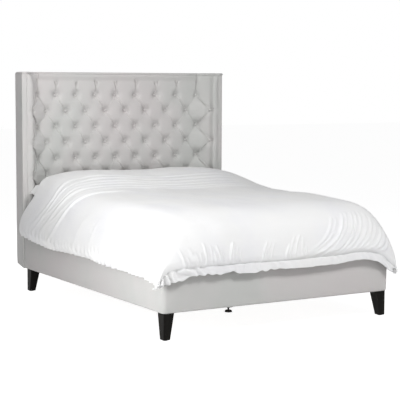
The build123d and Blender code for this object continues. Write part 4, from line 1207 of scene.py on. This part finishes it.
def duvet_folds(u, v):
    """Height of all the folds and gathers over the duvet's plain form."""
    spread = np.random.default_rng(11)
    seam_v = flange_width
    lift = np.zeros(u.shape)
    # Folds that sweep up from the foot seam toward the right corner
    for k in range(sweep_count):
        share = k / (sweep_count - 1)
        base_u = 0.06 + 0.62 * share + spread.normal(0, 0.008)
        reach_u = 0.34 - 0.20 * share
        crest = math.sin(math.pi * min(share * 0.75 + 0.2, 1))
        top_v = 0.20 + 0.16 * crest + spread.normal(0, 0.02)
        start = (base_u, seam_v + 0.012)
        end = (base_u + reach_u, top_v)
        bend = (base_u + 0.78 * reach_u, seam_v + 0.22 * (top_v - seam_v))
        width = sweep_width * spread.uniform(0.8, 1.3)
        lift += fold(u, v, (start, bend, end), width, sweep_height * spread.uniform(0.6, 1.2))
    for centre, count, lean in gathers:
        for k in range(count):
            base_u = centre + gather_step * (k - (count - 1) / 2) + spread.normal(0, 0.004)
            top_v = seam_v + spread.uniform(0.07, 0.15)
            end = (base_u + lean * (top_v - seam_v), top_v)
            bend = (base_u, (seam_v + top_v) / 2)
            width = gather_width * spread.uniform(0.8, 1.2)
            height = gather_height * spread.uniform(0.7, 1.2)
            lift += fold(u, v, ((base_u, seam_v + 0.004), bend, end), width, height, 0.45)
    for start_v, end_v, strength, length, width in long_folds:
        drift = spread.normal(0, 0.02, 3)
        start = (-0.86 + 0.46 * length + drift[0], start_v)
        bend = (-0.87 + drift[1], (start_v + end_v) / 2 - 0.20)
        end = (-0.88 - 0.24 * length, end_v + drift[2])
        lift += fold(u, v, (start, bend, end), width, long_height * strength)
    # Soft ridges across the top, before the pillows
    for k in range(6):
        start = (-0.80, 1.62 + 0.06 * k + spread.normal(0, 0.008))
        bend = (-0.10, 1.52 + 0.06 * k)
        end = (0.62, 1.47 + 0.07 * k + spread.normal(0, 0.01))
        width = ridge_width * spread.uniform(0.8, 1.2)
        lift += fold(u, v, (start, bend, end), width, ridge_height)
    for base_v, lean, height in slack_folds:
        path = ((-1.10, base_v), (-1.00, base_v - 0.01), (-0.84, base_v - lean))
        lift += fold(u, v, path, slack_width, height)
    # Crinkles along both side hems, strongest at the left and toward the foot
    drift = 0.9 * ripple(np.stack([u * 6, v * 6, 0 * u], -1), 1.0, 21)
    crinkle = np.sin(2 * np.pi * (v / crinkle_pitch + drift))
    patch = np.clip(0.8 + 1.1 * ripple(np.stack([u * 0, v * 3.2, 0 * u], -1), 1.0, 22), 0, 1)
    patch = patch * (1 - 0.65 * smooth_step((v - 1.1) / 0.4))
    left = crinkle_left * np.exp(-(((u - u.min()) / crinkle_reach) ** 2))
    right = crinkle_right * np.exp(-(((u.max() - u) / 0.06) ** 2))
    return lift + crinkle * patch * (left * smooth_step(v / 0.1) + right)


def grid_normals(points):
    """Unit normals of a grid of points."""
    du = np.gradient(points, axis=0)
    dv = np.gradient(points, axis=1)
    n = np.cross(du, dv)
    return n / np.maximum(np.linalg.norm(n, axis=-1, keepdims=True), 1e-9)


# The flange, the seam inside it and the thickness of the cloth
flange_fade, fill_reach = 0.12, 0.035
swell_depth, swell_lift = 0.015, 0.004
flange_wave, corner_ruffle, wave_pitch = 0.0022, 0.010, 0.085
stitch_depth, stitch_width = 0.003, 0.0045
cloth_thickness = 0.0035
hem_height, hem_reach = 0.009, 0.035
# Corners that hang out of line: end of the hem, widths across and along, and move in x and y
hanging_corners = ((-1, 0.12, 0.10, -0.045, -0.010), (1, 0.20, 0.20, -0.030, 0.0))


def build_duvet():
    """The duvet: its plain form, folds, flange, hem and hanging corners, as a closed mesh."""
    points, u, v = duvet_form()
    cloth = np.stack([u, v, 0 * u], -1)
    ends = {-1: u.min(), 1: u.max()}
    side_flange = flange_width * (1 - 0.8 * smooth_step((v - 0.05) / flange_fade))
    from_side = np.minimum(u - ends[-1], ends[1] - u) + flange_width - side_flange
    from_foot = v * (1 - 0.35 * np.exp(-(((u + 0.85) / 0.2) ** 2)))
    from_hem = np.minimum(from_foot, from_side)
    filled = np.clip((from_hem - flange_width) / fill_reach, 0, 1) ** 0.55
    lift = 0.007 * ripple(cloth, 3.0, 5) + 0.003 * ripple(cloth, 7.5, 6)
    lift = lift + duvet_folds(u, v) * np.clip((from_hem - 0.4 * flange_width) / 0.02, 0, 1)
    lift = lift + swell_depth * (filled - 1) + swell_lift
    # Waves of the flange, and its stitched seam
    around = np.where(from_foot < from_side, u, v)
    turn = (around + 0.7 * from_hem) / wave_pitch + 0.7 * ripple(cloth, 9.0, 14)
    corner = np.exp(-(((u + 0.85) / 0.25) ** 2 + (v / 0.25) ** 2))
    wave = np.where(from_hem < flange_width, flange_wave + corner_ruffle * corner, 0)
    lift = lift + wave * np.sin(2 * np.pi * turn) * (1 - filled)
    lift = lift - stitch_depth * np.exp(-(((from_hem - flange_width) / stitch_width) ** 2))
    outer = points + grid_normals(points) * lift[..., None]
    # The hem itself runs up and down a little
    hem_wave = ripple(cloth, 6.0, 15) + np.where(u < 0, 1.9, 0.4) * ripple(cloth, 24.0, 16)
    outer[..., 2] += hem_height * np.exp(-from_hem / hem_reach) * hem_wave
    for end, across, along, move_x, move_y in hanging_corners:
        flap = np.exp(-(((u - ends[end]) / across) ** 2 + (v / along) ** 2))
        outer[..., 0] += move_x * flap
        outer[..., 1] += move_y * flap
    thick = cloth_thickness + (filling - cloth_thickness) * filled
    return closed_sheet("duvet_cloth", outer, outer - grid_normals(outer) * thick[..., None])


duvet = build_duvet()
put_on(duvet, cotton, ["duvet"])


# Pillows: crowned, drawn in between the corners, with a drooping flange round the upper pair

pillow_points = 60
pillow_border, pillow_droop = 0.034, 0.055
upper_rim, lower_rim = 0.013, 0.040
cloth_gap = 0.0016
pull_side, pull_end, dome_power = 0.035, 0.055, 0.45
pucker_size, hang_wave = 0.004, 0.004


def pillow(node, flange):
    """A pillow in the box of its node, with a flange or without."""
    low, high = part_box(node)
    centre = (low + high) / 2
    half_x, half_y = (high.x - low.x) / 2, (high.y - low.y) / 2
    rim = low.z + (upper_rim if flange else lower_rim)
    ticks = np.sin(np.linspace(-np.pi / 2, np.pi / 2, pillow_points))
    if flange:
        border = pillow_border / half_x
        ticks = np.concatenate([[-1 - border, -1 - border / 2], ticks])
        ticks = np.concatenate([ticks, -ticks[1::-1]])
    u, v = np.meshgrid(ticks, ticks, indexing="ij")
    in_u, in_v = np.clip(u, -1, 1), np.clip(v, -1, 1)
    pull_x = 1 - pull_side * (1 - in_v**2) * np.abs(in_u) ** 3
    pull_y = 1 - pull_end * (1 - in_u**2) * np.abs(in_v) ** 3
    x = centre.x + in_u * half_x * pull_x + (u - in_u) * half_x
    y = centre.y + in_v * half_y * pull_y + (v - in_v) * half_x
    outside = np.maximum(np.abs(u - in_u), np.abs(v - in_v)) * half_x
    dome = ((1 - in_u**2) * (1 - in_v**2)) ** dome_power
    slack = ripple(np.stack([x * 3, y * 3, 0 * x], -1), 2.0, 11)
    turn = 9 * np.arctan2(v, u) + 3 * slack
    puckers = pucker_size * np.sin(turn) * np.abs(in_u * in_v) * (1 - dome)
    hang = pillow_droop * (outside / pillow_border)
    hang = hang - hang_wave * np.sin(2 * np.pi * (x + y) / 0.07) * (outside / 0.045)
    top = rim + (high.z - rim) * dome * (1 + 0.03 * slack) + puckers - hang
    bottom = rim - (rim - low.z) * dome - cloth_gap - hang
    faces = [np.stack([x, y, level], -1) for level in (top, bottom)]
    made = outward(closed_sheet(f"{node}_cloth", *faces))
    put_on(made, cotton, [node])


for side, sign in sides:
    for level in ("lower", "upper"):
        pillow(f"pillow_{side}_{level}", level == "upper")


# Mattress: a quilted block with piped tape edges


def plan(low, high, radius):
    """Rounded rectangle in plan between two corners."""
    corners = [(low.x, low.y), (high.x, low.y), (high.x, high.y), (low.x, high.y)]
    return rounded_outline(corners, [radius] * 4, 12)


mattress = upholstered_block(
    "mattress_cloth",
    plan(mattress_low, mattress_high, 0.11),
    mattress_low.z,
    mattress_high.z,
    0.016,
    0.016,
)
put_on(mattress, knit, ["mattress"])

tape_half_height, tape_swell, tape_seat = 0.007, 0.0026, 0.0005


def tape_rings():
    """The tapes round the mattress's top and bottom edges."""
    outline = resample(plan(tape_low, tape_high, 0.113), 0.02)
    count = 8
    points, faces = [], []
    for level in (tape_low.z + tape_half_height, tape_high.z - tape_half_height):
        faces += ring_faces(count, len(outline), len(points), closed=True)
        for i, place in enumerate(outline):
            along = (outline[(i + 1) % len(outline)] - outline[i - 1]).normalized()
            for a in circle(count):
                depth = tape_swell * math.cos(a) - tape_swell - tape_seat
                x, y = place.x + along.y * depth, place.y - along.x * depth
                points.append(Vector((x, y, level + tape_half_height * math.sin(a))))
    return outward(mesh_object("mattress_tape_edges", points, faces))


tapes = tape_rings()
put_on(tapes, tape, ["mattress_tapes"])


# Hidden frame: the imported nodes, with their finishes

def numbered(part, *ends):
    """Names of nodes that differ in their last word."""
    return [f"{part}_{end}" for end in ends]


finishes = {
    lacquer: numbered("leg_foot", "left", "right") + numbered("leg_head", "left", "right"),
    steel: ["middle_beam", "beam_hangers"]
    + numbered("middle_leg", 1, 2, 3)
    + numbered("corner_bracket", "left", "right")
    + numbered("join_plate", "left", "right"),
    zinc: ["frame_bolts", "leg_bolts"],
    plastic: ["leg_glides"]
    + numbered("slat_holders", "left", "right", "middle")
    + numbered("screw_foot", 1, 2, 3),
    birch: numbered("slats", "left", "right"),
    pine: ["foot_rail_board", "side_rail_left_board", "side_rail_right_board"]
    + ["wing_left_post", "wing_right_post"]
    + numbered("side_ledger", "left", "right")
    + numbered("headboard_post", "left", "right")
    + numbered("headboard_rail", "bottom", "middle", "top"),
    plywood: ["headboard_board", "wing_left_board", "wing_right_board"],
}
for material, names in finishes.items():
    for name in names:
        node = nodes[name]
        node.data.materials.clear()
        node.data.materials.append(material)
        if material is lacquer:
            bevel = node.modifiers.new("edges", "BEVEL")
            bevel.width = 0.0015
            bevel.segments = 3
            bevel.limit_method = "ANGLE"


# Stage: a pale floor and background, which keep the shadow

floor_reach = 30.0
floor_glow, floor_seen, floor_matt = 0.955, 0.32, 0.80
ambient_color, ambient_strength = (0.98, 0.99, 1.0), 0.08


def tree_node(tree, kind, color=None, strength=None):
    """A node of the floor's or the world's tree, with its colour and strength."""
    made = tree.nodes.new(kind)
    if color:
        made.inputs["Color"].default_value = (*color, 1)
    if strength is not None:
        made.inputs["Strength"].default_value = strength
    return made


def seen_or_not(tree, unseen, seen, output):
    """Sends the seen shader to camera, glossy and transmission rays, and the other to the rest."""
    rays = tree_node(tree, "ShaderNodeLightPath")
    share = rays.outputs["Is Camera Ray"]
    for kind in ("Is Glossy Ray", "Is Transmission Ray"):
        either = tree_node(tree, "ShaderNodeMath")
        either.operation = "MAXIMUM"
        tree.links.new(share, either.inputs[0])
        tree.links.new(rays.outputs[kind], either.inputs[1])
        share = either.outputs[0]
    mix = tree_node(tree, "ShaderNodeMixShader")
    for source, target in zip((share, unseen.outputs[0], seen.outputs[0]), mix.inputs):
        tree.links.new(source, target)
    tree.links.new(mix.outputs[0], output.inputs["Surface"])


def stage_material():
    """Matt floor, which glows and keeps only part of the shadow where it is seen."""
    material = bpy.data.materials.new("stage_floor")
    material.use_nodes = True
    tree = material.node_tree
    tree.nodes.clear()
    matt = tree_node(tree, "ShaderNodeBsdfDiffuse", (floor_matt,) * 3)
    seen = tree_node(tree, "ShaderNodeBsdfDiffuse", (floor_seen,) * 3)
    glow = tree_node(tree, "ShaderNodeEmission", (1, 1, 1), floor_glow)
    both = tree_node(tree, "ShaderNodeAddShader")
    tree.links.new(seen.outputs[0], both.inputs[0])
    tree.links.new(glow.outputs[0], both.inputs[1])
    seen_or_not(tree, matt, both, tree_node(tree, "ShaderNodeOutputMaterial"))
    return material


floor = mesh_object(
    "floor",
    [(x * floor_reach, y * floor_reach, 0) for x, y in ((-1, -1), (1, -1), (1, 1), (-1, 1))],
    [(0, 1, 2, 3)],
    smooth=False,
)
floor.data.materials.append(stage_material())

world = bpy.data.worlds.new("studio")
bpy.context.scene.world = world
world.use_nodes = True
world.node_tree.nodes.clear()
seen_or_not(
    world.node_tree,
    tree_node(world.node_tree, "ShaderNodeBackground", ambient_color, ambient_strength),
    tree_node(world.node_tree, "ShaderNodeBackground", (1, 1, 1), 1.0),
    tree_node(world.node_tree, "ShaderNodeOutputWorld"),
)


def area_light(name, place, aim, size, power):
    """A white rectangular lamp at a place, aimed at another."""
    lamp = bpy.data.lights.new(name, "AREA")
    lamp.shape = "RECTANGLE"
    lamp.size, lamp.size_y = size
    lamp.energy = power
    made = bpy.data.objects.new(name, lamp)
    made.location = place
    made.rotation_euler = (Vector(aim) - Vector(place)).to_track_quat("-Z", "Y").to_euler()
    bpy.context.scene.collection.objects.link(made)


area_light("key", (0.3, -3.6, 3.5), (0.0, 0.2, 0.6), (1.4, 1.0), 104)
area_light("overhead", (-1.5, 0.0, 3.0), (-0.5, 0.0, 0.6), (1.2, 2.2), 28)
area_light("side_fill", (-2.3, -1.25, 0.9), (-0.7, -0.7, 0.5), (0.8, 0.8), 24)
area_light("left_fill", (-1.9, -3.4, 1.3), (-0.5, 0.3, 0.6), (0.6, 0.6), 6)
area_light("right_fill", (1.8, -3.6, 0.7), (0.5, -0.6, 0.4), (0.8, 0.8), 10)
area_light("back_fill", (0.4, 4.4, 2.0), (0.0, 1.0, 0.7), (1.6, 1.2), 55)


# Camera, from the straight edges of the bed in the photograph

camera_place = (-4.161, -7.139, 1.473)
camera_turns = (30.7627, -5.4349, 0.1766)
camera_data = bpy.data.cameras.new("camera")
camera_data.sensor_width = 36.0
camera_data.lens = 109.84
camera_data.clip_end = 200.0
camera = bpy.data.objects.new("camera", camera_data)
yaw, pitch, roll = (math.radians(turn) for turn in camera_turns)
camera.matrix_world = (
    Matrix.Translation(camera_place)
    @ Matrix.Rotation(-yaw, 4, "Z")
    @ Matrix.Rotation(math.pi / 2 + pitch, 4, "X")
    @ Matrix.Rotation(roll, 4, "Z")
)
bpy.context.scene.collection.objects.link(camera)
bpy.context.scene.camera = camera

bpy.context.scene.view_settings.view_transform = "Standard"

bpy.context.view_layer.update()
